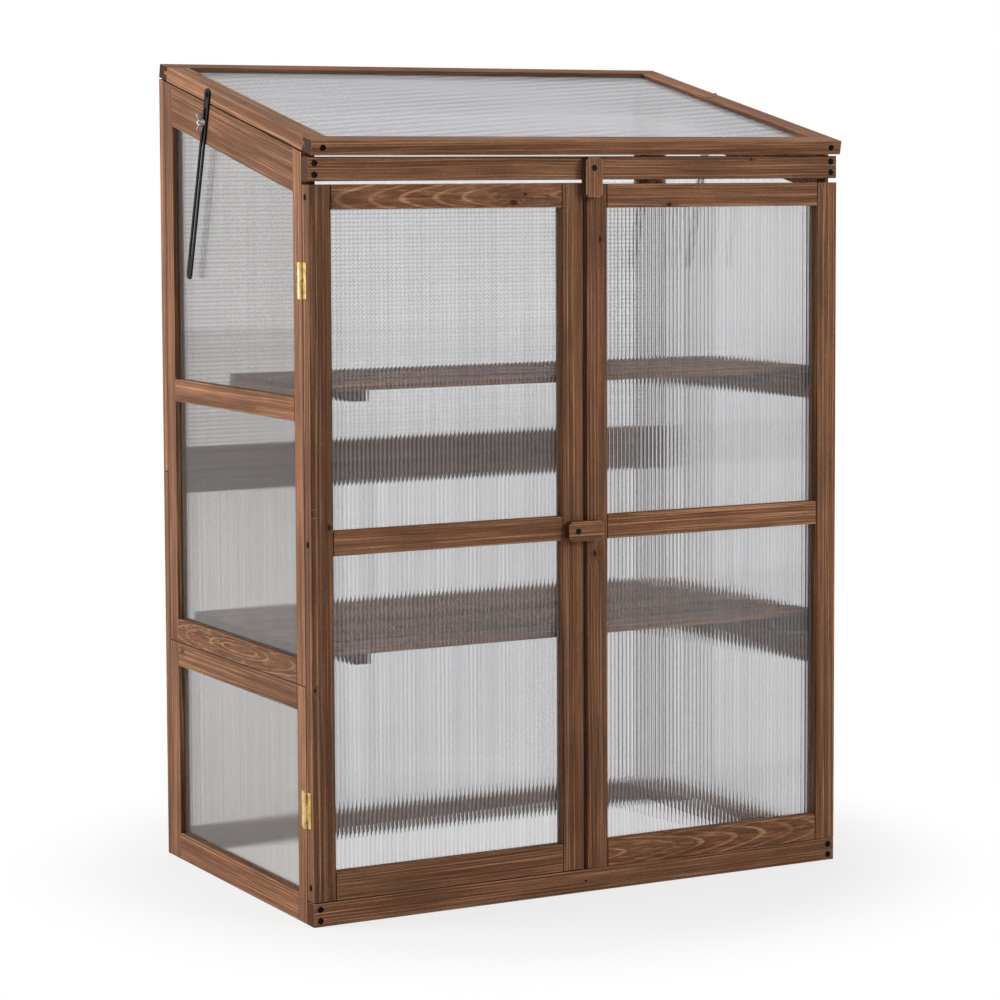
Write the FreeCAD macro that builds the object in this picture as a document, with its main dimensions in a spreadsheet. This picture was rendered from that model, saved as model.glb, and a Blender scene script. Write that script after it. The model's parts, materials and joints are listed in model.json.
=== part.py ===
"""Wooden mini greenhouse: a glazed cabinet with two doors, a lid on stays and two slatted shelves.

Millimetres and degrees. X runs to the right, Y to the back, Z up. The origin is on the floor, at the
middle of the outer box. The driving dimensions are the cells of the sheet Sizes; the sheet Places
works out the planes that several pieces share. Every piece is bound to these two sheets.
"""
import FreeCAD, Part
import math
import os
import re

import Sketcher
from FreeCAD import Placement, Rotation, Vector

SIZES = (
    # name, value, meaning
    ("overall_width", 760, "outside width over the side frames"),
    ("overall_depth", 470, "door fronts to the back face"),
    ("front_setback", 231.6, "door fronts to the origin"),
    ("stock", 18, "thickness of cabinet boards and doors"),
    ("lid_back_height", 1041.3, "underside of the lid at the back face"),
    ("lid_slope", 12.5, "slope of the lid"),
    ("lid_clearance", 2.1, "gap between the lid and the frames under it"),
    ("pane_thickness", 4, "twin-wall sheet"),
    ("groove_play", 0.3, "how much wider a groove is than its pane"),
    ("groove_depth", 8, "depth of every pane groove"),
    ("pane_end_play", 1, "room between a pane's edge and its groove's bottom"),
    ("side_pane_setback", 7, "outer face to pane in the side frames"),
    ("side_stile_width", 26, "stiles of the side frames"),
    ("side_seam_height", 293, "seam between lower and upper side frame"),
    ("side_foot_rail_width", 35, "lowest rail of a side frame"),
    ("side_under_seam_rail_width", 32, "side rail below the seam"),
    ("side_over_seam_rail_width", 31, "side rail above the seam"),
    ("side_middle_rail_height", 614, "underside of the middle side rail"),
    ("side_middle_rail_width", 29, "middle side rail"),
    ("sloped_rail_width", 52, "sloped top rail, square to its edge"),
    ("back_pane_setback", 7, "back face to pane in the back frame"),
    ("back_stile_width", 30, "stiles of the back frame"),
    ("back_seam_height", 518, "seam between lower and upper back frame"),
    ("back_foot_rail_width", 33, "lowest rail of the back frame"),
    ("back_seam_rail_width", 30, "back rails at the seam"),
    ("back_head_rail_width", 34.5, "highest rail of the back frame"),
    ("foot_board_width", 28.8, "bottom board across the front"),
    ("pilot_radius", 1.6, "hole in the middle of the bottom board"),
    ("pilot_depth", 8, "hole in the middle of the bottom board"),
    ("header_drop", 1.4, "sloped frame top to the header board, at the board's front"),
    ("header_width", 29.2, "header board"),
    ("door_gap", 0.5, "door backs to the cabinet"),
    ("door_floor_gap", 1.7, "bottom board to the doors"),
    ("door_head_gap", 4, "doors to the header board"),
    ("door_meeting_gap", 4.8, "gap between the two doors"),
    ("right_door_drop", 1.4, "how much lower the right door hangs"),
    ("door_stile_width", 30, "stiles of the doors"),
    ("door_top_rail_width", 30, "top rail of a door"),
    ("door_middle_rail_rise", 421.9, "door bottom to its middle rail"),
    ("door_middle_rail_width", 30, "middle rail of a door"),
    ("door_foot_rail_width", 34.3, "bottom rail of a door"),
    ("door_pane_setback", 11, "door front to pane"),
    ("lid_overhang", 8, "how far the lid stands out over the doors"),
    ("lid_thickness", 18, "lid rails"),
    ("lid_end_rail_width", 26, "front and back rails of the lid"),
    ("lid_side_rail_width", 31, "side rails of the lid"),
    ("lid_pane_depth", 6, "top of the lid rails to the pane"),
    ("slat_width", 46, "shelf slat"),
    ("slat_gap", 21, "gap between slats"),
    ("slat_thickness", 9, "shelf slat"),
    ("slat_end_play", 2, "slat ends to the side frames"),
    ("lower_shelf_height", 325.6, "underside of the lower slats"),
    ("lower_shelf_setback", 28, "door fronts to the lower shelf"),
    ("lower_slat_count", 6, "slats of the lower shelf"),
    ("upper_shelf_height", 649.2, "underside of the upper slats"),
    ("upper_shelf_setback", 35, "door fronts to the upper shelf"),
    ("upper_slat_count", 4, "slats of the upper shelf"),
    ("batten_width", 23, "battens under the slats"),
    ("batten_thickness", 14, "battens under the slats"),
    ("batten_spacing", 592, "between the centres of a shelf's two battens"),
    ("batten_end_setback", 8, "shelf edge to batten end"),
    ("cleat_width", 15, "cleats that carry the slat ends"),
    ("cleat_drop", 20, "height of a cleat"),
    ("hinge_height", 44, "length of a hinge along its pin"),
    ("hinge_leaf_reach", 12.7, "pin axis to the edge of a leaf"),
    ("hinge_leaf_thickness", 1.1, "brass sheet"),
    ("hinge_knuckle_radius", 2.75, "outside of the knuckles"),
    ("hinge_knuckle_share", 20, "length of the middle knuckle"),
    ("hinge_knuckle_play", 0.3, "gap between knuckles"),
    ("hinge_pin_radius", 1.2, "hinge pin"),
    ("hinge_pin_play", 0.06, "pin to bore, on the radius"),
    ("lid_fixed_leaf_reach", 20, "lid hinge axis to the edge of its leaf on the back frame"),
    ("door_hinge_top_inset", 115, "door top to the centre of its upper hinge"),
    ("door_hinge_foot_inset", 111.8, "door bottom to the centre of its lower hinge"),
    ("lid_hinge_spacing", 520, "between the centres of the lid hinges"),
    ("lid_pin_rise", 3.5, "lid underside to the lid hinge axis at the back face"),
    ("button_length", 50.5, "turn button"),
    ("button_width", 25, "turn button"),
    ("button_thickness", 12, "turn button"),
    ("button_chamfer", 4.5, "corners of a turn button"),
    ("button_pivot_inset", 13.5, "short end of a turn button to its screw"),
    ("button_clearance", 0.3, "turn button to the wood behind it"),
    ("button_screw_head", 3.8, "head radius of a button screw"),
    ("button_screw_shank", 2.1, "shank radius of a button screw"),
    ("button_screw_cone", 2.4, "countersunk head of a button screw"),
    ("button_screw_length", 27, "button screw"),
    ("button_screw_play", 0.1, "screw to the button's hole, on the radius"),
    ("top_button_offset", 7.3, "top button, right of the middle"),
    ("top_button_drop", 14.5, "top of the header board to the top button's screw"),
    ("middle_button_offset", 16.7, "middle button, left of the middle"),
    ("middle_button_height", 464, "middle button above the floor"),
    ("stay_radius", 174, "lid hinge axis to the stay's pivot and to its bolt"),
    ("stay_pivot_angle", 10, "stay pivot below the horizontal through the hinge"),
    ("stay_bolt_angle", 22.3, "stay bolt below the horizontal through the hinge"),
    ("stay_length", 255.3, "stay bar, end to end"),
    ("stay_width", 15, "stay bar"),
    ("stay_thickness", 2, "stay bar"),
    ("stay_clearance", 0.4, "stay bar to the cabinet side"),
    ("stay_pivot_inset", 8, "upper end of the stay bar to its pivot"),
    ("stay_slot_start", 17.6, "pivot to the near end of the slot"),
    ("stay_slot_end", 217.8, "pivot to the far end of the slot"),
    ("stay_slot_width", 5.6, "slot of the stay bar"),
    ("stay_pivot_head", 4, "head radius of the pivot screw"),
    ("stay_pivot_head_height", 2.2, "head of the pivot screw"),
    ("stay_pivot_shank", 2, "shank radius of the pivot screw"),
    ("stay_pivot_play", 0.08, "pivot screw to the bar, on the radius"),
    ("stay_pivot_length", 14, "pivot screw inside the lid rail"),
    ("stay_pivot_head_gap", 0.2, "head of the pivot screw to the bar"),
    ("stay_bolt_radius", 2.4, "bolt in the slot"),
    ("stay_bolt_reach", 9, "bolt beyond the stay bar"),
    ("stay_bolt_head", 5.5, "head radius of the bolt, inside the cabinet"),
    ("stay_bolt_head_height", 2.5, "head of the bolt"),
    ("wing_hub_radius", 4.6, "foot of the wing nut's hub"),
    ("wing_hub_top_radius", 3.6, "top of the wing nut's hub"),
    ("wing_hub_height", 6, "hub of the wing nut"),
    ("wing_lobe_radius", 3.4, "rounded end of a wing"),
    ("wing_lobe_offset", 8.2, "bolt axis to the middle of a lobe"),
    ("wing_lobe_rise", 6.2, "foot of the nut to the middle of a lobe"),
    ("wing_thickness", 1.8, "plate of a wing"),
)

PLACES = (
    # name, formula, meaning
    ("half_width", "overall_width / 2", "outer faces of the cabinet"),
    ("inner_half_width", "half_width - stock", "inner faces of the side frames"),
    ("door_front", "-front_setback", "front faces of the doors"),
    ("door_back", "door_front + stock", "back faces of the doors"),
    ("front_plane", "door_back + door_gap", "front faces of the side frames"),
    ("board_front", "front_plane - stock", "front faces of the header and bottom boards"),
    ("back_face", "door_front + overall_depth", "back face of the cabinet"),
    ("back_plane", "back_face - stock", "front face of the back frame"),
    ("slope_rise", "tan(lid_slope)", "rise of the lid for each millimetre back"),
    ("frame_top_at_back", "lid_back_height - lid_clearance", "sloped frame top at the back face"),
    ("back_frame_top", "frame_top_at_back - stock * slope_rise", "front edge of the back frame's top"),
    ("sloped_rail_drop", "sloped_rail_width / cos(lid_slope)", "sloped rail, straight down"),
    ("groove_width", "pane_thickness + groove_play", "width of every pane groove"),
    ("pane_reach", "groove_depth - pane_end_play", "how far a pane enters its groove"),
    ("door_bottom", "foot_board_width + door_floor_gap", "bottom of the left door"),
    ("door_edge", "door_meeting_gap / 2", "meeting edge of a door"),
    ("door_middle_rail_height", "door_bottom + door_middle_rail_rise", "underside of the middle rail"),
    ("header_top", "frame_top_at_back - (back_face - board_front) * slope_rise - header_drop",
     "top of the header board"),
    ("header_height", "header_top - header_width", "underside of the header board"),
    ("door_top", "header_height - door_head_gap", "top of the left door"),
    ("button_back", "door_front - button_clearance", "back faces of the turn buttons"),
    ("button_front", "button_back - button_thickness", "front faces of the turn buttons"),
    ("top_button_height", "header_top - top_button_drop", "screw of the top button"),
    ("lid_length", "(overall_depth + lid_overhang) / cos(lid_slope)", "lid along its slope"),
    ("lid_pane_foot", "lid_thickness - lid_pane_depth - pane_thickness", "underside of the lid's pane"),
    ("door_pin_offset", "half_width + hinge_knuckle_radius", "door hinge axes"),
    ("door_joint_plane", "(door_back + front_plane) / 2", "door hinge axes, front to back"),
    ("lid_pin_setback", "back_face + hinge_knuckle_radius", "lid hinge axis, front to back"),
    ("lid_pin_height", "lid_back_height + lid_pin_rise", "lid hinge axis above the floor"),
    ("lid_leaf_seat", "hinge_knuckle_radius * cos(lid_slope) + lid_pin_rise * sin(lid_slope)",
     "lid hinge axis to the lid's back face"),
    ("stay_pivot_setback", "lid_pin_setback - stay_radius * cos(stay_pivot_angle)", "stay pivot"),
    ("stay_pivot_height", "lid_pin_height - stay_radius * sin(stay_pivot_angle)", "stay pivot"),
    ("stay_bolt_setback", "lid_pin_setback - stay_radius * cos(stay_bolt_angle)", "stay bolt"),
    ("stay_bolt_height", "lid_pin_height - stay_radius * sin(stay_bolt_angle)", "stay bolt"),
    ("stay_lean", "(stay_pivot_angle + stay_bolt_angle) / 2", "lean of the stay bar"),
    ("stay_inner_face", "half_width + stay_clearance", "inner face of the stay bar"),
    ("stay_outer_face", "stay_inner_face + stay_thickness", "outer face of the stay bar"),
    ("nut_face", "stay_outer_face + stay_clearance", "foot of the wing nut"),
)

AXES = ("x", "y", "z")
ALONG = {  # turns that lay the Z axis along another direction
    "+x": Rotation(Vector(0, 1, 0), 90),
    "-x": Rotation(Vector(0, 1, 0), -90),
    "+y": Rotation(Vector(1, 0, 0), -90),
    "+z": Rotation(),
}

doc = FreeCAD.newDocument("MiniGreenhouse")
owners = {}  # which sheet holds each name
nodes = {}  # finished sub-parts by label


# ---------------------------------------------------------------- sheets and formulas

def formula(text, home=None):
    """The same formula with every known name led by its sheet, except names of the home sheet."""
    def full_name(match):
        owner = owners.get(match.group())
        return match.group() if owner in (None, home) else f"{owner}.{match.group()}"
    return re.sub(r"[a-z_]+", full_name, text)


def fill_sheet(title, rows, as_formula):
    sheet = doc.addObject("Spreadsheet::Sheet", title)
    for row, (name, content, meaning) in enumerate(rows, start=1):
        owners[name] = title
        sheet.set(f"A{row}", name)
        sheet.set(f"B{row}", "=" + formula(content, title) if as_formula else str(content))
        sheet.set(f"C{row}", meaning)
        sheet.setAlias(f"B{row}", name)
    doc.recompute()
    return sheet


def value(text):
    """What a formula comes to now."""
    result = sizes.evalExpression(formula(text))
    return float(getattr(result, "Value", result))


def bind(item, **formulas):
    for prop, text in formulas.items():
        item.setExpression(prop, formula(text))


def place(item, at, rotation=Rotation(), tilt=None):
    """Binds where an object stands; tilt is a formula for its turn about the X axis."""
    if tilt is not None:
        rotation = Rotation(Vector(1, 0, 0), value(tilt))
    item.Placement = Placement(Vector(*(value(text) for text in at)), rotation)
    for axis, text in zip(AXES, at):
        item.setExpression(f"Placement.Base.{axis}", formula(text))
    if tilt is not None:
        item.setExpression("Placement.Rotation.Angle", formula(tilt))
    return item


# ---------------------------------------------------------------- simple solids and booleans

def block(name, x, y, z):
    """A board between two planes on each axis, every pair being (from, to) formulas."""
    item = doc.addObject("Part::Box", name)
    bind(item, Length=f"({x[1]}) - ({x[0]})", Width=f"({y[1]}) - ({y[0]})", Height=f"({z[1]}) - ({z[0]})")
    return place(item, (x[0], y[0], z[0]))


def rod(name, direction, at, radius, length):
    """A round bar that starts at a point and runs along a direction."""
    item = doc.addObject("Part::Cylinder", name)
    bind(item, Radius=radius, Height=length)
    return place(item, at, ALONG[direction])


def taper(name, direction, at, first_radius, last_radius, length):
    item = doc.addObject("Part::Cone", name)
    bind(item, Radius1=first_radius, Radius2=last_radius, Height=length)
    return place(item, at, ALONG[direction])


def fuse(name, *pieces):
    item = doc.addObject("Part::MultiFuse", name)
    item.Shapes = list(pieces)
    return item


def gather(name, *pieces):
    item = doc.addObject("Part::Compound", name)
    item.Links = list(pieces)
    return item


def cut(name, base, *tools):
    item = doc.addObject("Part::Cut", name)
    item.Base = base
    item.Tool = tools[0] if len(tools) == 1 else gather(name + "Tools", *tools)
    return item


def mirror(name, source):
    """The same piece on the other side of the cabinet."""
    item = doc.addObject("Part::Mirroring", name)
    item.Source = source
    item.Normal = Vector(1, 0, 0)
    return item


def moved(name, at, *pieces, rotation=Rotation(), tilt=None):
    return place(gather(name, *pieces), at, rotation, tilt)


def node(label, *pieces):
    """Names a finished sub-part; several pieces stay separate solids."""
    item = pieces[0] if len(pieces) == 1 else gather(label.title().replace("_", ""), *pieces)
    item.Label = label
    nodes[label] = item
    return item


# ---------------------------------------------------------------- sketched bodies

def sketch(body, role):
    """A sketch on one of the body's own origin planes."""
    plane = next(feature for feature in body.Origin.OriginFeatures if feature.Role == role)
    item = body.newObject("Sketcher::SketchObject", body.Name + "Sketch")
    item.AttachmentSupport = [(plane, "")]
    item.MapMode = "FlatFace"
    return item


def pin_point(item, edge, end, along, up):
    """Ties one point of a sketch to formulas measured from the sketch's origin."""
    for kind, text in (("DistanceX", along), ("DistanceY", up)):
        index = item.addConstraint(Sketcher.Constraint(kind, -1, 1, edge, end, value(text)))
        item.setExpression(f"Constraints[{index}]", formula(text))


def draw_polygon(item, corners):
    """A closed outline of straight edges through corners given as formula pairs."""
    points = [Vector(value(along), value(up), 0) for along, up in corners]
    first = item.GeometryCount
    for index, point in enumerate(points):
        item.addGeometry(Part.LineSegment(point, points[(index + 1) % len(points)]))
    for index, (along, up) in enumerate(corners):
        following = first + (index + 1) % len(points)
        item.addConstraint(Sketcher.Constraint("Coincident", first + index, 2, following, 1))
        pin_point(item, first + index, 1, along, up)


def draw_circle(item, along, up, radius):
    edge = item.addGeometry(Part.Circle(Vector(value(along), value(up), 0), Vector(0, 0, 1), value(radius)))
    pin_point(item, edge, 3, along, up)
    index = item.addConstraint(Sketcher.Constraint("Radius", edge, value(radius)))
    item.setExpression(f"Constraints[{index}]", formula(radius))


def draw_slot(item, start, end, radius):
    """An upright slot on the sketch's own vertical axis, from one arc's centre to the other's."""
    reach = value(radius)
    low, high = value(start), value(end)
    upward = Part.Circle(Vector(0, high, 0), Vector(0, 0, 1), reach)
    downward = Part.Circle(Vector(0, low, 0), Vector(0, 0, 1), reach)
    top = item.addGeometry(Part.ArcOfCircle(upward, 0, math.pi))
    left = item.addGeometry(Part.LineSegment(Vector(-reach, high, 0), Vector(-reach, low, 0)))
    bottom = item.addGeometry(Part.ArcOfCircle(downward, math.pi, 2 * math.pi))
    right = item.addGeometry(Part.LineSegment(Vector(reach, low, 0), Vector(reach, high, 0)))
    for first, second in ((top, left), (left, bottom), (bottom, right), (right, top)):
        item.addConstraint(Sketcher.Constraint("Tangent", first, 2, second, 1))
    pin_point(item, top, 3, "0", end)
    pin_point(item, bottom, 3, "0", start)
    index = item.addConstraint(Sketcher.Constraint("Radius", top, reach))
    item.setExpression(f"Constraints[{index}]", formula(radius))


def new_body(name):
    return doc.addObject("PartDesign::Body", name)


def pad(body, profile, length):
    item = body.newObject("PartDesign::Pad", body.Name + "Pad")
    item.Profile = profile
    bind(item, Length=length)
    return item


def pocket_through(body, profile):
    """Cuts a profile through the whole body, both ways from its sketch."""
    item = body.newObject("PartDesign::Pocket", body.Name + "Pocket")
    item.Profile = profile
    item.Type = "ThroughAll"
    item.Midplane = True
    return item


# ---------------------------------------------------------------- glazed frames

def framed_panel(name, axes, across, through, along, stile_width, rails, pane, open_ends=(False, False)):
    """Two stiles, the rails between them and a pane in every field, all in grooves.

    axes names the world axes of the frame's width, thickness and length. across, through and along
    are its stretches on them, rails the (from, to) stretches of its rails, and pane the stretch of a
    pane's thickness. A rail ends in tongues that fill the stiles' grooves. open_ends says whether a
    groove and a pane also go past the first and the last rail. Returns stiles, rails and panes.
    """
    low, high = across
    inner = (f"({low}) + ({stile_width})", f"({high}) - ({stile_width})")
    groove = (f"({pane[0]}) - groove_play / 2", f"({pane[1]}) + groove_play / 2")

    def part(suffix, span, depth, length):
        return block(name + suffix, **dict(zip(axes, (span, depth, length))))

    stiles = []
    for side, (outer, edge) in enumerate(((low, inner[0]), (high, inner[1]))):
        span = (outer, edge) if side == 0 else (edge, outer)
        sink = (f"{edge} - groove_depth", edge) if side == 0 else (edge, f"{edge} + groove_depth")
        stiles.append(cut(f"{name}Stile{side}",
                          part(f"StileBoard{side}", span, through, along),
                          part(f"StileGroove{side}", sink, groove, along)))
    tongue = (f"{inner[0]} - pane_reach", f"{inner[1]} + pane_reach")
    rail_items = []
    for index, (start, end) in enumerate(rails):
        grooves = []
        if index > 0 or open_ends[0]:
            grooves.append(part(f"RailGrooveLow{index}", tongue, groove, (start, f"{start} + groove_depth")))
        if index < len(rails) - 1 or open_ends[1]:
            grooves.append(part(f"RailGrooveHigh{index}", tongue, groove, (f"{end} - groove_depth", end)))
        board = fuse(f"{name}RailBoard{index}",
                     part(f"RailBody{index}", inner, through, (start, end)),
                     part(f"RailTongue{index}", tongue, pane, (start, end)))
        rail_items.append(cut(f"{name}Rail{index}", board, *grooves))
    panes = [part(f"Pane{index}", tongue, pane, (f"{below[1]} - pane_reach", f"{above[0]} + pane_reach"))
             for index, (below, above) in enumerate(zip(rails, rails[1:]))]
    return stiles, rail_items, panes


sizes = fill_sheet("Sizes", SIZES, as_formula=False)
fill_sheet("Places", PLACES, as_formula=True)


# ---------------------------------------------------------------- side frames

def slope_height(setback, drop="0"):
    """Height of the sloped frame top above a point, less a drop."""
    return f"frame_top_at_back - (back_face - ({setback})) * slope_rise - ({drop})"


def sloped_slab(name, start, thickness, front, back, low, high):
    """A slab of a side frame between two edges, each a function from setback to height."""
    body = new_body(name)
    profile = sketch(body, "YZ_Plane")
    draw_polygon(profile, ((front, low(front)), (back, low(back)), (back, high(back)), (front, high(front))))
    pad(body, profile, thickness)
    return place(body, (start, "0", "0"))


SIDE_AXES = ("y", "x", "z")
SIDE_DEPTH = ("front_plane", "back_plane")
SIDE_BOARD = ("-half_width", "-inner_half_width")
SIDE_PANE = ("-half_width + side_pane_setback", "-half_width + side_pane_setback + pane_thickness")
SIDE_OPENING = ("front_plane + side_stile_width", "back_plane - side_stile_width")
MIDDLE_RAIL_TOP = "side_middle_rail_height + side_middle_rail_width"

lower_side = framed_panel(
    "SideLower", SIDE_AXES, SIDE_DEPTH, SIDE_BOARD, ("0", "side_seam_height"), "side_stile_width",
    (("0", "side_foot_rail_width"),
     ("side_seam_height - side_under_seam_rail_width", "side_seam_height")), SIDE_PANE)
upper_side = framed_panel(
    "SideUpper", SIDE_AXES, SIDE_DEPTH, SIDE_BOARD, ("side_seam_height", "frame_top_at_back"),
    "side_stile_width",
    (("side_seam_height", "side_seam_height + side_over_seam_rail_width"),
     ("side_middle_rail_height", MIDDLE_RAIL_TOP)), SIDE_PANE, open_ends=(False, True))
above_slope = sloped_slab("AboveSlope", "-half_width", "overall_width", "door_front", "back_face",
                          slope_height, lambda setback: "frame_top_at_back + stock")
upper_side_stiles = [cut(f"SideUpperTrimmed{index}", stile, above_slope)
                     for index, stile in enumerate(upper_side[0])]


def sloped_rail():
    """The top rail under the lid, with tongues at its ends and a pane groove along its lower edge."""
    front, back = SIDE_OPENING
    tongue_front, tongue_back = f"{front} - pane_reach", f"{back} + pane_reach"

    def lower_edge(setback):
        return slope_height(setback, "sloped_rail_drop")

    def groove_floor(setback):
        return slope_height(setback, "sloped_rail_drop - groove_depth / cos(lid_slope)")

    board = sloped_slab("SlopedBoard", "-half_width", "stock", front, back, lower_edge, slope_height)
    tongue = sloped_slab("SlopedTongue", SIDE_PANE[0], "pane_thickness", tongue_front, tongue_back,
                         lower_edge, slope_height)
    groove = sloped_slab("SlopedGroove", f"{SIDE_PANE[0]} - groove_play / 2", "groove_width",
                         tongue_front, tongue_back, lower_edge, groove_floor)
    return cut("SlopedRail", fuse("SlopedRailBoard", board, tongue), groove)


def upper_side_pane():
    """The pane under the sloped rail."""
    return sloped_slab("SideTopPane", SIDE_PANE[0], "pane_thickness",
                       f"{SIDE_OPENING[0]} - pane_reach", f"{SIDE_OPENING[1]} + pane_reach",
                       lambda setback: f"{MIDDLE_RAIL_TOP} - pane_reach",
                       lambda setback: slope_height(setback, "sloped_rail_drop - pane_reach / cos(lid_slope)"))


side_sloped_rail = sloped_rail()
side_top_pane = upper_side_pane()


# ---------------------------------------------------------------- back frame and front boards

BACK_AXES = ("x", "y", "z")
BACK_WIDTH = ("-half_width", "half_width")
BACK_BOARD = ("back_plane", "back_face")
BACK_PANE = ("back_face - back_pane_setback - pane_thickness", "back_face - back_pane_setback")
BACK_SEAM_TOP = "back_seam_height + back_seam_rail_width"
BACK_HEAD = "back_frame_top - back_head_rail_width"

lower_back = framed_panel(
    "BackLower", BACK_AXES, BACK_WIDTH, BACK_BOARD, ("0", "back_seam_height"), "back_stile_width",
    (("0", "back_foot_rail_width"), ("back_seam_height - back_seam_rail_width", "back_seam_height")),
    BACK_PANE)
upper_back = framed_panel(
    "BackUpper", BACK_AXES, BACK_WIDTH, BACK_BOARD, ("back_seam_height", "frame_top_at_back"),
    "back_stile_width", (("back_seam_height", BACK_SEAM_TOP), (BACK_HEAD, "frame_top_at_back")), BACK_PANE)
upper_back_stiles = [cut(f"BackUpperTrimmed{index}", stile, above_slope)
                     for index, stile in enumerate(upper_back[0])]
upper_back_rails = [upper_back[1][0], cut("BackHeadTrimmed", upper_back[1][1], above_slope)]
header = block("Header", BACK_WIDTH, ("board_front", "front_plane"), ("header_height", "header_top"))
foot_board = block("FootBoard", BACK_WIDTH, ("board_front", "front_plane"), ("0", "foot_board_width"))
pilot_hole = rod("PilotHole", "+y", ("0", "board_front", "foot_board_width / 2"), "pilot_radius",
                 "pilot_depth")


# ---------------------------------------------------------------- butt hinges

HINGE_END = "hinge_height / 2"
SHARE_END = "hinge_knuckle_share / 2"
OUTER_KNUCKLES = ((f"-{HINGE_END}", f"-{SHARE_END} - hinge_knuckle_play"),
                  (f"{SHARE_END} + hinge_knuckle_play", HINGE_END))
MIDDLE_KNUCKLE = ((f"-{SHARE_END}", SHARE_END),)


def both_ways(side, near, far):
    """A stretch from near to far on one side of the pin."""
    return (near, far) if side > 0 else (f"-({far})", f"-({near})")


def leaf_pieces(name, side, knuckles, seat, reach):
    """The sheet and the knuckles of one leaf; the pin is the Z axis and the wood lies beyond x = seat."""
    sheet_depth = (f"{seat} - hinge_leaf_thickness", seat)
    relief = "hinge_knuckle_radius + hinge_knuckle_play"
    pieces = [block(name + "Plate", sheet_depth, both_ways(side, relief, reach), (f"-{HINGE_END}", HINGE_END))]
    for index, (low, high) in enumerate(knuckles):
        pieces.append(block(f"{name}Bend{index}", sheet_depth, both_ways(side, "0", relief), (low, high)))
        pieces.append(rod(f"{name}Knuckle{index}", "+z", ("0", "0", low), "hinge_knuckle_radius",
                          f"({high}) - ({low})"))
    return pieces


def butt_hinge(name, moving_seat="hinge_knuckle_radius", fixed_reach="hinge_leaf_reach"):
    """An open butt hinge. The fixed leaf lies on the +Y side and holds the pin that the other turns on."""
    foot = ("0", "0", f"-{HINGE_END}")
    pin = rod(name + "Pin", "+z", foot, "hinge_pin_radius", "hinge_height")
    bore = rod(name + "Bore", "+z", foot, "hinge_pin_radius + hinge_pin_play", "hinge_height")
    fixed = leaf_pieces(name + "Fixed", 1, OUTER_KNUCKLES, "hinge_knuckle_radius", fixed_reach)
    moving = leaf_pieces(name + "Moving", -1, MIDDLE_KNUCKLE, moving_seat, "hinge_leaf_reach")
    return {"fixed": fuse(name + "FixedLeaf", pin, *fixed),
            "moving": cut(name + "MovingLeaf", fuse(name + "MovingBlank", *moving), bore)}


DOOR_HINGE_HEIGHTS = ("door_top - door_hinge_top_inset", "door_bottom + door_hinge_foot_inset")
door_hinge = butt_hinge("DoorHinge")
left_hinges = {leaf: gather(f"LeftHinges_{leaf}", *(
    moved(f"LeftHinge_{leaf}_{index}", ("-door_pin_offset", "door_joint_plane", height), item)
    for index, height in enumerate(DOOR_HINGE_HEIGHTS))) for leaf, item in door_hinge.items()}
right_hinges = {leaf: moved(f"RightHinges_{leaf}", ("0", "0", "-right_door_drop"),
                            mirror(f"RightHingesMirror_{leaf}", item))
                for leaf, item in left_hinges.items()}

# The lid hinges lie along X: the leaf on the back frame hangs down, the other stands on the lid's back.
LID_HINGE_TURN = Rotation(Vector(0, -1, 0), Vector(0, 0, -1), Vector(1, 0, 0), "XYZ")
lid_hinge = butt_hinge("LidHinge", "lid_leaf_seat", "lid_fixed_leaf_reach")
lid_hinges = {}
for leaf, lean in (("fixed", "0"), ("moving", "lid_slope")):
    pair = gather(f"LidHinges_{leaf}", *(
        moved(f"LidHinge_{leaf}_{side}", (f"{side} * lid_hinge_spacing / 2", "0", "0"), lid_hinge[leaf],
              rotation=LID_HINGE_TURN) for side in (-1, 1)))
    lid_hinges[leaf] = moved(f"LidHingesPlaced_{leaf}", ("0", "lid_pin_setback", "lid_pin_height"), pair,
                             tilt=lean)


# ---------------------------------------------------------------- doors

DOOR_AXES = ("x", "y", "z")
DOOR_BOARD = ("door_front", "door_back")
DOOR_PANE = ("door_front + door_pane_setback", "door_front + door_pane_setback + pane_thickness")
DOOR_MIDDLE_RAIL = ("door_middle_rail_height", "door_middle_rail_height + door_middle_rail_width")
door_stiles, door_rails, door_panes = framed_panel(
    "Door", DOOR_AXES, ("-half_width", "-door_edge"), DOOR_BOARD, ("door_bottom", "door_top"),
    "door_stile_width",
    (("door_bottom", "door_bottom + door_foot_rail_width"), DOOR_MIDDLE_RAIL,
     ("door_top - door_top_rail_width", "door_top")), DOOR_PANE)


def right_door(name, item):
    """The right door's twin of a piece of the left door, at the height the right door hangs."""
    return moved(name, ("0", "0", "-right_door_drop"), mirror(name + "Mirror", item))


# ---------------------------------------------------------------- lid

def on_lid(name, *pieces):
    """Pieces drawn flat, with the back lower edge of the lid at the origin, laid on the slope."""
    return moved(name, ("0", "back_face", "lid_back_height"), *pieces, tilt="lid_slope")


lid_stiles, lid_rails, lid_panes = framed_panel(
    "Lid", ("y", "z", "x"), ("-lid_length", "0"), ("0", "lid_thickness"), ("-half_width", "half_width"),
    "lid_end_rail_width",
    (("-half_width", "-half_width + lid_side_rail_width"),
     ("half_width - lid_side_rail_width", "half_width")),
    ("lid_pane_foot", "lid_pane_foot + pane_thickness"))


# ---------------------------------------------------------------- shelves

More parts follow.
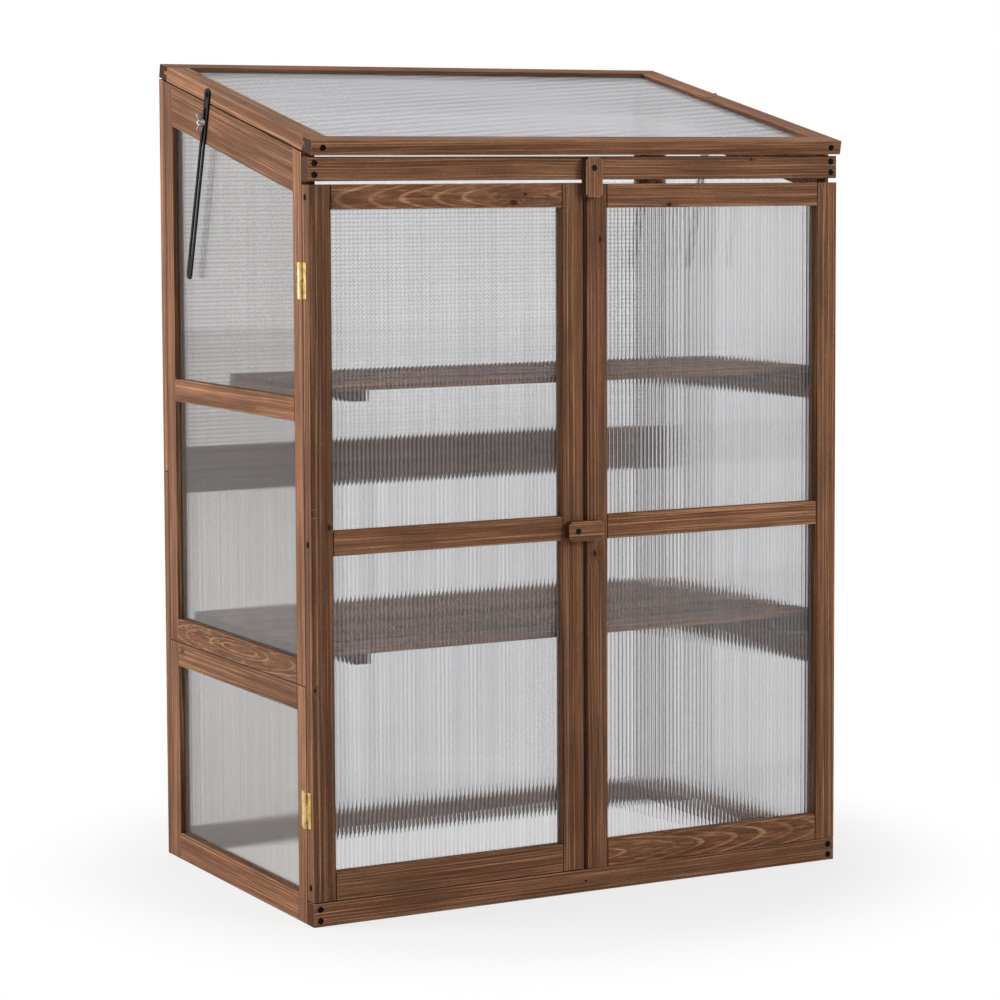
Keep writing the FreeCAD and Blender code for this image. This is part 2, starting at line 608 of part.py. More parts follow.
def shelf(name, height, setback, count):
    """Slats, battens and the left cleat of a shelf; the cleats carry the ends of the slats."""
    front = f"door_front + {setback}"
    pitch = "(slat_width + slat_gap)"
    back = f"{front} + {count} * {pitch} - slat_gap"
    slat_end = "(inner_half_width - slat_end_play)"
    slats = [block(f"{name}Slat{index}", (f"-{slat_end}", slat_end),
                   (f"{front} + {index} * {pitch}", f"{front} + {index} * {pitch} + slat_width"),
                   (height, f"{height} + slat_thickness")) for index in range(round(value(count)))]
    battens = [block(f"{name}Batten{side}",
                     (f"{side} * batten_spacing / 2 - batten_width / 2",
                      f"{side} * batten_spacing / 2 + batten_width / 2"),
                     (f"{front} + batten_end_setback", f"{back} - batten_end_setback"),
                     (f"{height} - batten_thickness", height)) for side in (-1, 1)]
    cleat = block(f"{name}Cleat", ("-inner_half_width", "-inner_half_width + cleat_width"), (front, back),
                  (f"{height} - cleat_drop", height))
    return slats, battens, [cleat, mirror(f"{name}CleatRight", cleat)]


lower_shelf = shelf("LowerShelf", "lower_shelf_height", "lower_shelf_setback", "lower_slat_count")
upper_shelf = shelf("UpperShelf", "upper_shelf_height", "upper_shelf_setback", "upper_slat_count")


# ---------------------------------------------------------------- turn buttons

def button_screw(name, head_centre, head, shank):
    """A countersunk screw driven in along +Y, its head flush at a point; it also drills its own hole."""
    neck = (head_centre[0], f"{head_centre[1]} + button_screw_cone", head_centre[2])
    return fuse(name,
                taper(name + "Head", "+y", head_centre, head, shank, "button_screw_cone"),
                rod(name + "Shank", "+y", neck, shank, "button_screw_length - button_screw_cone"))


def turn_button(name, pivot, turn, corner):
    """A chamfered wooden catch; corner is where the lower end of its left edge stands."""
    body = new_body(name + "Block")
    profile = sketch(body, "XZ_Plane")
    near, wide, far = "button_chamfer", "button_width - button_chamfer", "button_length - button_chamfer"
    draw_polygon(profile, ((near, "0"), (wide, "0"), ("button_width", near), ("button_width", far),
                           (wide, "button_length"), (near, "button_length"), ("0", far), ("0", near)))
    pad(body, profile, "button_thickness")
    place(body, corner, turn)
    hole = button_screw(name + "Hole", pivot, "button_screw_head + button_clearance",
                        "button_screw_shank + button_screw_play")
    return cut(name, body, hole), button_screw(name + "Screw", pivot, "button_screw_head", "button_screw_shank")


top_button, top_button_screw = turn_button(
    "TopButton",
    ("top_button_offset", "button_front", "top_button_height"), Rotation(),
    ("top_button_offset - button_width / 2", "button_back",
     "top_button_height + button_pivot_inset - button_length"))
middle_button, middle_button_screw = turn_button(
    "MiddleButton",
    ("-middle_button_offset", "button_front", "middle_button_height"), Rotation(Vector(0, 1, 0), -90),
    ("-middle_button_offset + button_length - button_pivot_inset", "button_back",
     "middle_button_height - button_width / 2"))


# ---------------------------------------------------------------- lid stays

def stay_bar():
    """The left slotted bar, hung from its pivot in the lid."""
    body = new_body("StayBar")
    pivot = "(stay_pivot_inset - stay_width / 2)"
    outline = sketch(body, "YZ_Plane")
    draw_slot(outline, "0", "stay_length - stay_width", "stay_width / 2")
    pad(body, outline, "stay_thickness")
    openings = sketch(body, "YZ_Plane")
    draw_slot(openings, f"{pivot} + stay_slot_start + stay_slot_width / 2",
              f"{pivot} + stay_slot_end - stay_slot_width / 2", "stay_slot_width / 2")
    draw_circle(openings, "0", pivot, "stay_pivot_shank + stay_pivot_play")
    pocket_through(body, openings)
    return place(body, ("-stay_outer_face", f"stay_pivot_setback - {pivot} * sin(stay_lean)",
                        f"stay_pivot_height + {pivot} * cos(stay_lean)"), tilt="180 + stay_lean")


def stay_pivot_screw():
    """The screw that the bar turns on, in the side rail of the lid."""
    foot = "-stay_outer_face - stay_pivot_head_gap"
    return fuse("StayPivotScrew",
                taper("StayPivotHead", "-x", (foot, "stay_pivot_setback", "stay_pivot_height"),
                      "stay_pivot_head", "stay_pivot_head * 0.7", "stay_pivot_head_height"),
                rod("StayPivotShank", "+x", (foot, "stay_pivot_setback", "stay_pivot_height"),
                    "stay_pivot_shank", f"-half_width - ({foot}) + stay_pivot_length"))


def stay_bolt():
    """The bolt through the sloped rail and the slot, its head inside the cabinet."""
    return fuse("StayBolt",
                rod("StayBoltHead", "+x", ("-inner_half_width", "stay_bolt_setback", "stay_bolt_height"),
                    "stay_bolt_head", "stay_bolt_head_height"),
                rod("StayBoltShank", "-x", ("-inner_half_width", "stay_bolt_setback", "stay_bolt_height"),
                    "stay_bolt_radius", "stay_outer_face + stay_bolt_reach - inner_half_width"))


def wing_nut(bolt):
    """A hub with two rounded wings on the outer end of the bolt."""
    body = new_body("WingPlate")
    profile = sketch(body, "XZ_Plane")
    tip, rim = "wing_lobe_offset", "wing_lobe_radius * 0.7"
    draw_polygon(profile, (
        ("-wing_hub_height / 8", "-wing_hub_top_radius"), ("-wing_hub_height / 8", "wing_hub_top_radius"),
        (f"-wing_lobe_rise + {rim}", f"{tip} + {rim}"), (f"-wing_lobe_rise - {rim}", f"{tip} - {rim}"),
        ("-wing_hub_height * 0.8", "0"),
        (f"-wing_lobe_rise - {rim}", f"-{tip} + {rim}"), (f"-wing_lobe_rise + {rim}", f"-{tip} - {rim}")))
    pad(body, profile, "wing_thickness")
    place(body, ("-nut_face", "stay_bolt_setback + wing_thickness / 2", "stay_bolt_height"))
    lobes = [rod(f"WingLobe{side}", "+y",
                 ("-nut_face - wing_lobe_rise", "stay_bolt_setback - wing_thickness / 2",
                  f"stay_bolt_height + {side} * wing_lobe_offset"), "wing_lobe_radius", "wing_thickness")
             for side in (-1, 1)]
    hub = taper("WingHub", "-x", ("-nut_face", "stay_bolt_setback", "stay_bolt_height"), "wing_hub_radius",
                "wing_hub_top_radius", "wing_hub_height")
    return cut("WingNut", fuse("WingNutBlank", hub, body, *lobes), bolt)


left_stay = stay_bar()
left_pivot_screw = stay_pivot_screw()
left_bolt = stay_bolt()
left_wing_nut = wing_nut(left_bolt)


# ---------------------------------------------------------------- finished sub-parts

def side_of(side, name, item):
    return item if side == "left" else mirror(name + "Right", item)


bored_sloped_rail = cut("BoredSlopedRail", side_sloped_rail, left_bolt)
for side in ("left", "right"):
    node(f"{side}_lower_stiles", *(side_of(side, stile.Name, stile) for stile in lower_side[0]))
    node(f"{side}_upper_stiles", *(side_of(side, stile.Name, stile) for stile in upper_side_stiles))
    node(f"{side}_lower_rails", *(side_of(side, rail.Name, rail) for rail in lower_side[1]))
    node(f"{side}_upper_rails", *(side_of(side, rail.Name, rail) for rail in upper_side[1]))
    node(f"{side}_sloped_rail", side_of(side, "SlopedRail", bored_sloped_rail))
    node(f"{side}_side_panes", *(side_of(side, pane.Name, pane)
                                 for pane in (*lower_side[2], *upper_side[2], side_top_pane)))

node("back_lower_stiles", *lower_back[0])
node("back_lower_rails", *lower_back[1])
node("back_upper_stiles", *upper_back_stiles)
node("back_upper_rails", *upper_back_rails)
node("back_panes", *lower_back[2], *upper_back[2])
node("header_board", cut("HeaderDrilled", header, top_button_screw))
node("bottom_board", cut("FootBoardDrilled", foot_board, pilot_hole))

node("lower_shelf_slats", *lower_shelf[0])
node("lower_shelf_battens", *lower_shelf[1])
node("upper_shelf_slats", *upper_shelf[0])
node("upper_shelf_battens", *upper_shelf[1])
node("shelf_cleats", *lower_shelf[2], *upper_shelf[2])

node("cabinet_hinge_leaves", left_hinges["fixed"], right_hinges["fixed"], lid_hinges["fixed"])
node("left_door_hinge_leaves", left_hinges["moving"])
node("right_door_hinge_leaves", right_hinges["moving"])
node("lid_hinge_leaves", lid_hinges["moving"])

node("left_door_hinge_stile", door_stiles[0])
node("left_door_meeting_stile", cut("LeftMeetingStile", door_stiles[1], middle_button_screw))
node("left_door_rails", *door_rails)
node("left_door_panes", *door_panes)
node("right_door_hinge_stile", right_door("RightHingeStile", door_stiles[0]))
node("right_door_meeting_stile", right_door("RightMeetingStile", door_stiles[1]))
node("right_door_rails", *(right_door(f"Right{rail.Name}", rail) for rail in door_rails))
node("right_door_panes", *(right_door(f"Right{pane.Name}", pane) for pane in door_panes))

right_pivot_screw = mirror("RightStayPivotScrew", left_pivot_screw)
node("lid_front_rail", on_lid("LidFrontPlaced", lid_stiles[0]))
node("lid_back_rail", on_lid("LidBackPlaced", lid_stiles[1]))
node("lid_side_rails", cut("LidLeftDrilled", on_lid("LidLeftPlaced", lid_rails[0]), left_pivot_screw),
     cut("LidRightDrilled", on_lid("LidRightPlaced", lid_rails[1]), right_pivot_screw))
node("lid_pane", on_lid("LidPanePlaced", *lid_panes))

node("top_turn_button", top_button)
node("top_button_screw", top_button_screw)
node("middle_turn_button", middle_button)
node("middle_button_screw", middle_button_screw)

node("left_stay_bar", left_stay)
node("right_stay_bar", mirror("RightStayBar", left_stay))
node("stay_pivot_screws", left_pivot_screw, right_pivot_screw)
node("stay_bolts", left_bolt, mirror("RightStayBolt", left_bolt))
node("stay_wing_nuts", left_wing_nut, mirror("RightWingNut", left_wing_nut))


# ---------------------------------------------------------------- checks and files

def check_document():
    """Stops on a failed object or on a sub-part without a sound shape."""
    failed = [item.Name for item in doc.Objects if {"Invalid", "Error"} & set(item.State)]
    if failed:
        raise RuntimeError(f"these objects failed: {failed}")
    for label, item in nodes.items():
        shape = item.Shape
        if shape.isNull() or not shape.isValid() or shape.Volume <= 0:
            raise RuntimeError(f"{label} has no sound shape")


def write_parts():
    os.makedirs("parts", exist_ok=True)
    for label, item in nodes.items():
        item.Shape.exportStep(f"parts/{label}.step")


doc.recompute()
check_document()
write_parts()
box = Part.makeCompound([item.Shape for item in nodes.values()]).BoundBox
print(f"{len(nodes)} sub-parts, x {box.XMin:.2f} to {box.XMax:.2f}, y {box.YMin:.2f} to {box.YMax:.2f}, "
      f"z {box.ZMin:.2f} to {box.ZMax:.2f}")
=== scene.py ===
"""Looks of the wooden mini greenhouse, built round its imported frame.

Metres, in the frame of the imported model: X runs to the right, Y to the back and Z up, and the doors
face -Y. Every board is remade from its node with eased edges, end grain and its own run of the
grain, every pane becomes a fluted twin-wall sheet, and the screws that the frame leaves out are
sunk into their places.
"""

import json
import logging
import math
import random
from collections.abc import Iterable, Sequence
from dataclasses import dataclass
from enum import Enum
from functools import cache
from typing import ClassVar

import bmesh
import bpy
from mathutils import Matrix, Vector


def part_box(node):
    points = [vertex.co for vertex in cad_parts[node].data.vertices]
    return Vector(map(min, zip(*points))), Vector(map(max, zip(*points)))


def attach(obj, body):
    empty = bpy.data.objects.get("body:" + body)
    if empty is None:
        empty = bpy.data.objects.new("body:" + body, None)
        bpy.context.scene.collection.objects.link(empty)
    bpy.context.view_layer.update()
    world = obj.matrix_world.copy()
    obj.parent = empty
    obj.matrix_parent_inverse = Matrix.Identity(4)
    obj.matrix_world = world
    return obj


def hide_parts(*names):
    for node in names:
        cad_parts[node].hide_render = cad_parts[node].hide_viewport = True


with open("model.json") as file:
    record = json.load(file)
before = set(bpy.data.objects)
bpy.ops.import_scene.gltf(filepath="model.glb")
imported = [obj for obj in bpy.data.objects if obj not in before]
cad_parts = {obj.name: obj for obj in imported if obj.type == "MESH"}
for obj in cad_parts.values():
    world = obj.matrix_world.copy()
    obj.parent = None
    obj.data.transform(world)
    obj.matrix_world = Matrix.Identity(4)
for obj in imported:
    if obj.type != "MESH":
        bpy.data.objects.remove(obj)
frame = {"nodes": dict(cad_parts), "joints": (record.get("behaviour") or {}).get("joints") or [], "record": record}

log = logging.getLogger("greenhouse")

LID_SLOPE = math.radians(12.5)
MERGE_DISTANCE = 1e-6
FLAT_WITHIN = math.radians(0.5)
JOINT_REACH = 0.0012

Colour = tuple[float, float, float]
Triple = tuple[float, float, float]


def srgb(red: int, green: int, blue: int) -> Colour:
    """A display colour as the linear colour that shaders take.

    Args:
        red: red from 0 to 255.
        green: green from 0 to 255.
        blue: blue from 0 to 255.

    Returns:
        The same colour in linear light.
    """
    def linear(level: int) -> float:
        """One channel in linear light."""
        share = level / 255
        return share / 12.92 if share <= 0.04045 else ((share + 0.055) / 1.055) ** 2.4

    return linear(red), linear(green), linear(blue)


class Direction(Enum):
    """The ways that fibres, flutes and screws run on this object."""

    SIDEWAYS = (1.0, 0.0, 0.0)
    DEPTHWAYS = (0.0, 1.0, 0.0)
    UPRIGHT = (0.0, 0.0, 1.0)
    UP_THE_SLOPE = (0.0, math.cos(LID_SLOPE), math.sin(LID_SLOPE))
    OUT_OF_THE_SLOPE = (0.0, -math.sin(LID_SLOPE), math.cos(LID_SLOPE))

    @property
    def vector(self) -> Vector:
        """The direction as a vector of length one."""
        return Vector(self.value)


# ---------------------------------------------------------------- materials

@dataclass(frozen=True)
class Step:
    """A soft step of a number: where it starts and ends, and the values before and after it."""

    start: float
    end: float
    before: float = 0.0
    after: float = 1.0


@dataclass(frozen=True)
class Fleck:
    """Noise drawn out along the fibres: how fast it changes over a metre along and across them."""

    along: float
    across: float
    detail: float = 2.0


@dataclass(frozen=True)
class Relief:
    """How strongly a height roughens a surface, and how deep it is in metres."""

    strength: float
    depth: float


class MaterialGraph:
    """A material whose nodes are added one after another."""

    def __init__(self, name: str) -> None:
        """Starts a material with its usual shader and nothing before it.

        Args:
            name: the material's name.
        """
        self.material = bpy.data.materials.new(name)
        self.material.use_nodes = True
        self.tree = self.material.node_tree
        self.shader = next(node for node in self.tree.nodes if node.type == "BSDF_PRINCIPLED")

    def node(self, kind: str, **settings: object) -> bpy.types.Node:
        """Adds a node.

        Args:
            kind: the node's type name.
            settings: properties to set on it.

        Returns:
            The new node.
        """
        made = self.tree.nodes.new(kind)
        for name, setting in settings.items():
            setattr(made, name, setting)
        return made

    def feed(self, socket: bpy.types.NodeSocket, source: object) -> None:
        """Gives a socket its source.

        Args:
            socket: the socket to feed.
            source: another socket, or a plain value.
        """
        if isinstance(source, bpy.types.NodeSocket):
            self.tree.links.new(source, socket)
        else:
            socket.default_value = source

    def attribute(self, name: str, output: str = "Fac") -> bpy.types.NodeSocket:
        """Reads a named attribute of the mesh."""
        return self.node("ShaderNodeAttribute", attribute_name=name).outputs[output]

    def math(self, operation: str, first: object, second: object = 0.0) -> bpy.types.NodeSocket:
        """Adds one sum of two numbers.

        Args:
            operation: the name of the sum.
            first: its first number or socket.
            second: its second number or socket.

        Returns:
            The socket that holds the result.
        """
        made = self.node("ShaderNodeMath", operation=operation)
        self.feed(made.inputs[0], first)
        self.feed(made.inputs[1], second)
        return made.outputs[0]

    def vector_math(self, operation: str, first: object, second: object) -> bpy.types.Node:
        """Adds one sum of two vectors, or of a vector and a number.

        Args:
            operation: the name of the sum.
            first: its vector.
            second: its second vector, or the number that it is scaled by.

        Returns:
            The node, whose outputs hold the result.
        """
        made = self.node("ShaderNodeVectorMath", operation=operation)
        self.feed(made.inputs[0], first)
        self.feed(made.inputs["Scale" if operation == "SCALE" else 1], second)
        return made

    def stretched(self, vector: bpy.types.NodeSocket, per_metre: Triple) -> bpy.types.NodeSocket:
        """A vector with each part multiplied by its own number."""
        return self.vector_math("MULTIPLY", vector, per_metre).outputs[0]

    def length(self, vector: bpy.types.NodeSocket) -> bpy.types.NodeSocket:
        """The length of a vector."""
        return self.vector_math("LENGTH", vector, (0.0, 0.0, 0.0)).outputs["Value"]

    def noise(self, vector: bpy.types.NodeSocket, detail: float = 2.0,
              scale: float = 1.0) -> bpy.types.NodeSocket:
        """Smooth noise between 0 and 1 at a place.

        Args:
            vector: the place.
            detail: how much fine noise lies on the coarse.
            scale: how fast it changes over a metre.

        Returns:
            The socket that holds the noise.
        """
        made = self.node("ShaderNodeTexNoise")
        self.feed(made.inputs["Vector"], vector)
        made.inputs["Scale"].default_value = scale
        made.inputs["Detail"].default_value = detail
        return made.outputs["Fac"]

    def flecks(self, place: bpy.types.NodeSocket, fleck: Fleck) -> bpy.types.NodeSocket:
        """Noise between 0 and 1 that is drawn out along the fibres."""
        per_metre = (fleck.along, fleck.across, fleck.across)
        return self.noise(self.stretched(place, per_metre), fleck.detail)

    def between(self, source: object, low: object, high: object, at_low: float = 0.0,
                at_high: float = 1.0) -> bpy.types.NodeSocket:
        """A soft step from one value to another.

        Args:
            source: the number that drives the step.
            low: where the step starts.
            high: where the step ends.
            at_low: the value up to the start.
            at_high: the value from the end.

        Returns:
            The socket that holds the stepped value.
        """
        made = self.node("ShaderNodeMapRange", interpolation_type="SMOOTHSTEP")
        for name, given in (("Value", source), ("From Min", low), ("From Max", high),
                            ("To Min", at_low), ("To Max", at_high)):
            self.feed(made.inputs[name], given)
        return made.outputs["Result"]

    def step(self, source: object, step: Step) -> bpy.types.NodeSocket:
        """Puts a number through a soft step."""
        return self.between(source, step.start, step.end, step.before, step.after)

    def mixed(self, factor: object, first: object, second: object) -> bpy.types.NodeSocket:
        """A mix of two colours, each a socket or a plain colour.

        Args:
            factor: how much of the second colour shows.
            first: the colour underneath.
            second: the colour on top.

        Returns:
            The socket that holds the mixed colour.
        """
        made = self.node("ShaderNodeMix", data_type="RGBA")
        self.feed(made.inputs[0], factor)
        for socket, colour in ((made.inputs[6], first), (made.inputs[7], second)):
            self.feed(socket, (*colour, 1.0) if isinstance(colour, tuple) else colour)
        return made.outputs[2]

    def brightened(self, colour: object, factor: object) -> bpy.types.NodeSocket:
        """A colour made lighter or darker by a factor."""
        return self.vector_math("SCALE", colour, factor).outputs[0]

    def bump(self, height: bpy.types.NodeSocket, relief: Relief) -> None:
        """Roughens the surface by a height.

        Args:
            height: the height, from 0 to about 1.
            relief: how strong and how deep the roughness is.
        """
        made = self.node("ShaderNodeBump")
        made.inputs["Strength"].default_value = relief.strength
        made.inputs["Distance"].default_value = relief.depth
        self.feed(made.inputs["Height"], height)
        self.feed(self.shader.inputs["Normal"], made.outputs["Normal"])


@dataclass(frozen=True)
class WoodStain:
    """Brown stain on softwood, with growth rings, fibres and knots.

    The mesh says where each point was in the tree (grain), how pale its board is (tone), which
    faces are end grain (end_grain) or a broad side that knots come through (broad), and which are
    an edge (arris): 1 where it is worn, -1 where it lies in a joint and is darker; a value near -1
    on a node's narrow sides paints shade on them.
    """

    name: str
    slot: str
    ground: Colour = srgb(134, 92, 65)
    deep: Colour = srgb(102, 65, 44)
    line: Colour = srgb(190, 144, 109)
    knot: Colour = srgb(42, 24, 16)
    heart: Colour = srgb(124, 70, 38)
    heart_share: float = 0.7
    board_contrast: float = 0.2
    gloss: float = 0.15
    relief: Relief = Relief(0.35, 0.0004)
    ring_relief: float = 0.5

    wander: Fleck = Fleck(2.5, 10.0)
    figure: Fleck = Fleck(2.5, 150.0, 4.0)
    streak: Fleck = Fleck(1.2, 330.0, 1.0)
    fibre: Fleck = Fleck(16.0, 620.0, 3.0)
    patch: Fleck = Fleck(7.0, 24.0)
    pore: Fleck = Fleck(240.0, 1100.0)

    deep_share: Step = Step(0.36, 0.64, 0.0, 0.8)
    line_share: Step = Step(0.35, 0.6, 0.4, 0.85)
    pale_streak: Step = Step(0.58, 0.7, 0.0, 0.45)
    dark_streak: Step = Step(0.3, 0.42, 0.8, 1.0)
    fibre_shade: Step = Step(0.32, 0.68, 0.76, 1.22)
    patch_shade: Step = Step(0.32, 0.68, 0.88, 1.1)
    pore_shade: Step = Step(0.32, 0.68, 0.86, 1.14)
    end_shade: Step = Step(0.35, 0.65, 0.18, 0.44)
    # Darkens faces in joints, and paints shade on narrow sides marked with a value near -1.
    joint_darkening_and_painted_shade: Step = Step(-1.0, -0.5, 0.25, 1.0)
    worn_arris: Step = Step(0.5, 1.0)
    worn_fibre: Step = Step(0.4, 0.6, 0.1, 0.6)
    roughness: Step = Step(0.2, 0.8, 0.55, 0.75)

    ring_width: float = 0.0038
    ring_wander: float = 0.012
    ring_push: float = 0.007
    ring_rise: Step = Step(0.52, 0.7)
    ring_fall: Step = Step(0.76, 0.84, 1.0, 0.0)
    ring_strength: Step = Step(0.2, 0.9, 0.1, 1.0)

    knot_cell: Triple = (0.2, 0.05, 2.5)
    knot_share: float = 0.28
    knot_radius: tuple[float, float] = (0.0018, 0.0044)
    knot_length: float = 0.7
    knot_rim: tuple[float, float] = (0.55, 1.25)
    knot_shade: float = 0.9
    swell_reach: float = 4.5
    swell_shade: float = 0.5

    def knots(self, graph: MaterialGraph,
              place: bpy.types.NodeSocket) -> tuple[bpy.types.NodeSocket, bpy.types.NodeSocket]:
        """Scatters knots over the board, each a round branch that comes through its broad sides.

        Args:
            graph: the material.
            place: where the point was in the tree.

        Returns:
            How much of a knot's core and of the swelling round it is here, both from 0 to 1.
        """
        length, width, depth = self.knot_cell
        cells = graph.node("ShaderNodeTexVoronoi")
        cells.inputs["Scale"].default_value = 1.0
        spread = graph.stretched(place, (1 / length, 1 / width, 1 / depth))
        graph.feed(cells.inputs["Vector"], spread)
        offset = graph.vector_math("SUBTRACT", spread, cells.outputs["Position"]).outputs[0]
        distance = graph.length(graph.stretched(offset, (length * self.knot_length, width, 0.0)))
        chance = graph.node("ShaderNodeSeparateColor")
        graph.feed(chance.inputs[0], cells.outputs["Color"])
        chosen = graph.math("MULTIPLY", graph.attribute("broad"),
                            graph.math("LESS_THAN", chance.outputs[0], self.knot_share))
        smallest, largest = self.knot_radius
        radius = graph.math("MULTIPLY_ADD", chance.outputs[1], largest - smallest)
        radius.node.inputs[2].default_value = smallest
        inside, outside = (graph.math("MULTIPLY", radius, share) for share in self.knot_rim)
        core = graph.between(distance, inside, outside, 1.0, 0.0)
        reach = graph.math("MULTIPLY", radius, self.swell_reach)
        swell = graph.between(distance, 0.0, reach, 1.0, 0.0)
        return graph.math("MULTIPLY", core, chosen), graph.math("MULTIPLY", swell, chosen)

    def rings(self, graph: MaterialGraph, place: bpy.types.NodeSocket,
              swell: bpy.types.NodeSocket) -> bpy.types.NodeSocket:
        """Draws the pale lines of the growth rings round the middle of the tree.

        Args:
            graph: the material.
            place: where the point was in the tree.
            swell: how much a knot pushes the rings apart here.

        Returns:
            How much of a pale ring line shows, from 0 to 1.
        """
        radius = graph.length(graph.stretched(place, (0.0, 1.0, 1.0)))
        wander = graph.math("MULTIPLY", graph.flecks(place, self.wander), self.ring_wander)
        shifted = graph.math("ADD", radius, wander)
        pushed = graph.math("ADD", shifted, graph.math("MULTIPLY", swell, self.ring_push))
        phase = graph.math("DIVIDE", pushed, self.ring_width)
        share = graph.math("FRACT", phase)
        each = graph.node("ShaderNodeTexWhiteNoise", noise_dimensions="1D")
        graph.feed(each.inputs["W"], graph.math("FLOOR", phase))
        profile = graph.math("MULTIPLY", graph.step(share, self.ring_rise),
                             graph.step(share, self.ring_fall))
        strength = graph.step(each.outputs["Value"], self.ring_strength)
        return graph.math("MULTIPLY", profile, strength)

    def material(self) -> bpy.types.Material:
        """Builds the stained wood.

        Returns:
            The material.
        """
        graph = MaterialGraph(self.name)
        place = graph.attribute("grain", "Vector")
        core, swell = self.knots(graph, place)
        line = self.rings(graph, place, swell)
        figure, streak, fibre, patch, pore = (graph.flecks(place, fleck) for fleck in (
            self.figure, self.streak, self.fibre, self.patch, self.pore))
        colour = graph.mixed(graph.step(figure, self.deep_share), self.ground, self.deep)
        ring_share = graph.math("MULTIPLY", line, graph.step(patch, self.line_share))
        colour = graph.mixed(ring_share, colour, self.line)
        colour = graph.mixed(graph.step(streak, self.pale_streak), colour, self.line)
        for layer, shade in ((streak, self.dark_streak), (fibre, self.fibre_shade),
                             (patch, self.patch_shade), (pore, self.pore_shade)):
            colour = graph.brightened(colour, graph.step(layer, shade))
        colour = graph.mixed(graph.math("MULTIPLY", swell, self.swell_shade), colour, self.deep)
        colour = graph.mixed(graph.math("MULTIPLY", core, self.knot_shade), colour, self.knot)
        arris = graph.attribute("arris")
        # Darker in joints, and painted shade on the narrow sides of nodes marked for it.
        colour = graph.brightened(colour, graph.step(arris, self.joint_darkening_and_painted_shade))
        wear = graph.math("MULTIPLY", graph.step(arris, self.worn_arris),
                          graph.step(fibre, self.worn_fibre))
        colour = graph.mixed(wear, colour, self.line)
        end = graph.attribute("end_grain")
        colour = graph.mixed(graph.math("MULTIPLY", end, self.heart_share), colour, self.heart)
        shade = graph.step(pore, self.end_shade)
        colour = graph.brightened(colour, graph.between(end, 0.0, 1.0, 1.0, shade))
        tone = graph.math("MULTIPLY_ADD", graph.attribute("tone"), self.board_contrast)
        tone.node.inputs[2].default_value = 1.0
        graph.feed(graph.shader.inputs["Base Color"], graph.brightened(colour, tone))
        graph.feed(graph.shader.inputs["Roughness"], graph.step(fibre, self.roughness))
        graph.shader.inputs["Specular IOR Level"].default_value = self.gloss
        height = graph.math("ADD", graph.math("MULTIPLY", line, self.ring_relief), fibre)
        graph.bump(height, self.relief)
        return graph.material


class Grade(Enum):
    """The kinds of sheet: clear in most panes, smoky in the left side, and whiter and less clear in the lid, which
    paints on the reflection of the sloping lid.
    """

    CLEAR = "clear"
    SMOKY = "smoky"
    PAINTED_REFLECTION = "painted_reflection"


@dataclass(frozen=True)
class SheetPlastic:
    """Cloudy twin-wall sheet; the ribs between its walls let less through than the hollow cells."""

    name: str
    slot: str
    colour: Colour
    clear: float
    roughness: float = 0.03
    bend: float = 1.4
    streaks_per_metre: Triple = (110.0, 1.0, 110.0)
    streak_shade: Step = Step(0.35, 0.65, 0.93, 1.0)
    clouds_per_metre: Triple = (5.0, 2.5, 5.0)
    cloud_shade: Step = Step(0.3, 0.7, 0.94, 1.0)
    # Slanting bands of painted reflection: their pitch, slant, darkness, fade and edges.
    band_pitch: float = 0.0235
    band_slant: float = 0.3
    reflection_band_shade: float = 1.0
    band_fade: tuple[float, float] = (0.3, 0.6)
    band_edges: tuple[float, float] = (-0.8, 0.8)

    def material(self) -> bpy.types.Material:
        """Builds the see-through plastic, a little cloudy in streaks, with faint slanting bands of painted
        reflection.

        Returns:
            The material.
        """
        graph = MaterialGraph(self.name)
        place = graph.attribute("flute", "Vector")
        streak = graph.noise(graph.stretched(place, self.streaks_per_metre))
        cloud = graph.noise(graph.stretched(place, self.clouds_per_metre))
        tint = graph.math("MULTIPLY", graph.step(streak, self.streak_shade),
                          graph.step(cloud, self.cloud_shade))
        # Painted reflection: faint slanting bands darken the colour where the band shade is below 1.
        turn = math.tau / self.band_pitch
        slope = (turn, -turn * self.band_slant, 0.0)
        wave = graph.math("SINE", graph.vector_math("DOT_PRODUCT", place, slope).outputs["Value"])
        faded = graph.between(cloud, *self.band_fade, 1.0, self.reflection_band_shade)
        tint = graph.math("MULTIPLY", tint, graph.between(wave, *self.band_edges, faded, 1.0))
        graph.feed(graph.shader.inputs["Base Color"], graph.brightened(self.colour, tint))
        graph.shader.inputs["Roughness"].default_value = self.roughness
        graph.shader.inputs["IOR"].default_value = self.bend
        graph.shader.inputs["Transmission Weight"].default_value = self.clear
        return graph.material


@dataclass(frozen=True)
class MetalFinish:
    """Metal or painted metal, handled and slightly uneven."""

    name: str
    slot: str
    colour: Colour
    worn: Colour
    metallic: float
    roughness: tuple[float, float]
    gloss: float = 0.5
    grain_per_metre: float = 900.0
    patches_per_metre: float = 150.0
    worn_share: Step = Step(0.45, 0.75)
    fine_shade: Step = Step(0.2, 0.8, 0.88, 1.1)
    dull_from: float = 0.25
    dull_to: float = 0.75
    relief: Relief = Relief(0.15, 0.0001)

    def material(self) -> bpy.types.Material:
        """Builds the metal, whose sheen and colour shift over fine and coarse patches.

        Returns:
            The material.
        """
        graph = MaterialGraph(self.name)
        place = graph.node("ShaderNodeTexCoord").outputs["Object"]
        fine = graph.noise(place, 4.0, self.grain_per_metre)
        patch = graph.noise(place, 2.0, self.patches_per_metre)
        colour = graph.mixed(graph.step(patch, self.worn_share), self.colour, self.worn)
        colour = graph.brightened(colour, graph.step(fine, self.fine_shade))
        graph.feed(graph.shader.inputs["Base Color"], colour)
        graph.shader.inputs["Metallic"].default_value = self.metallic
        graph.shader.inputs["Specular IOR Level"].default_value = self.gloss
        dullness = graph.between(fine, self.dull_from, self.dull_to, *self.roughness)
        graph.feed(graph.shader.inputs["Roughness"], dullness)
        graph.bump(fine, self.relief)
        return graph.material


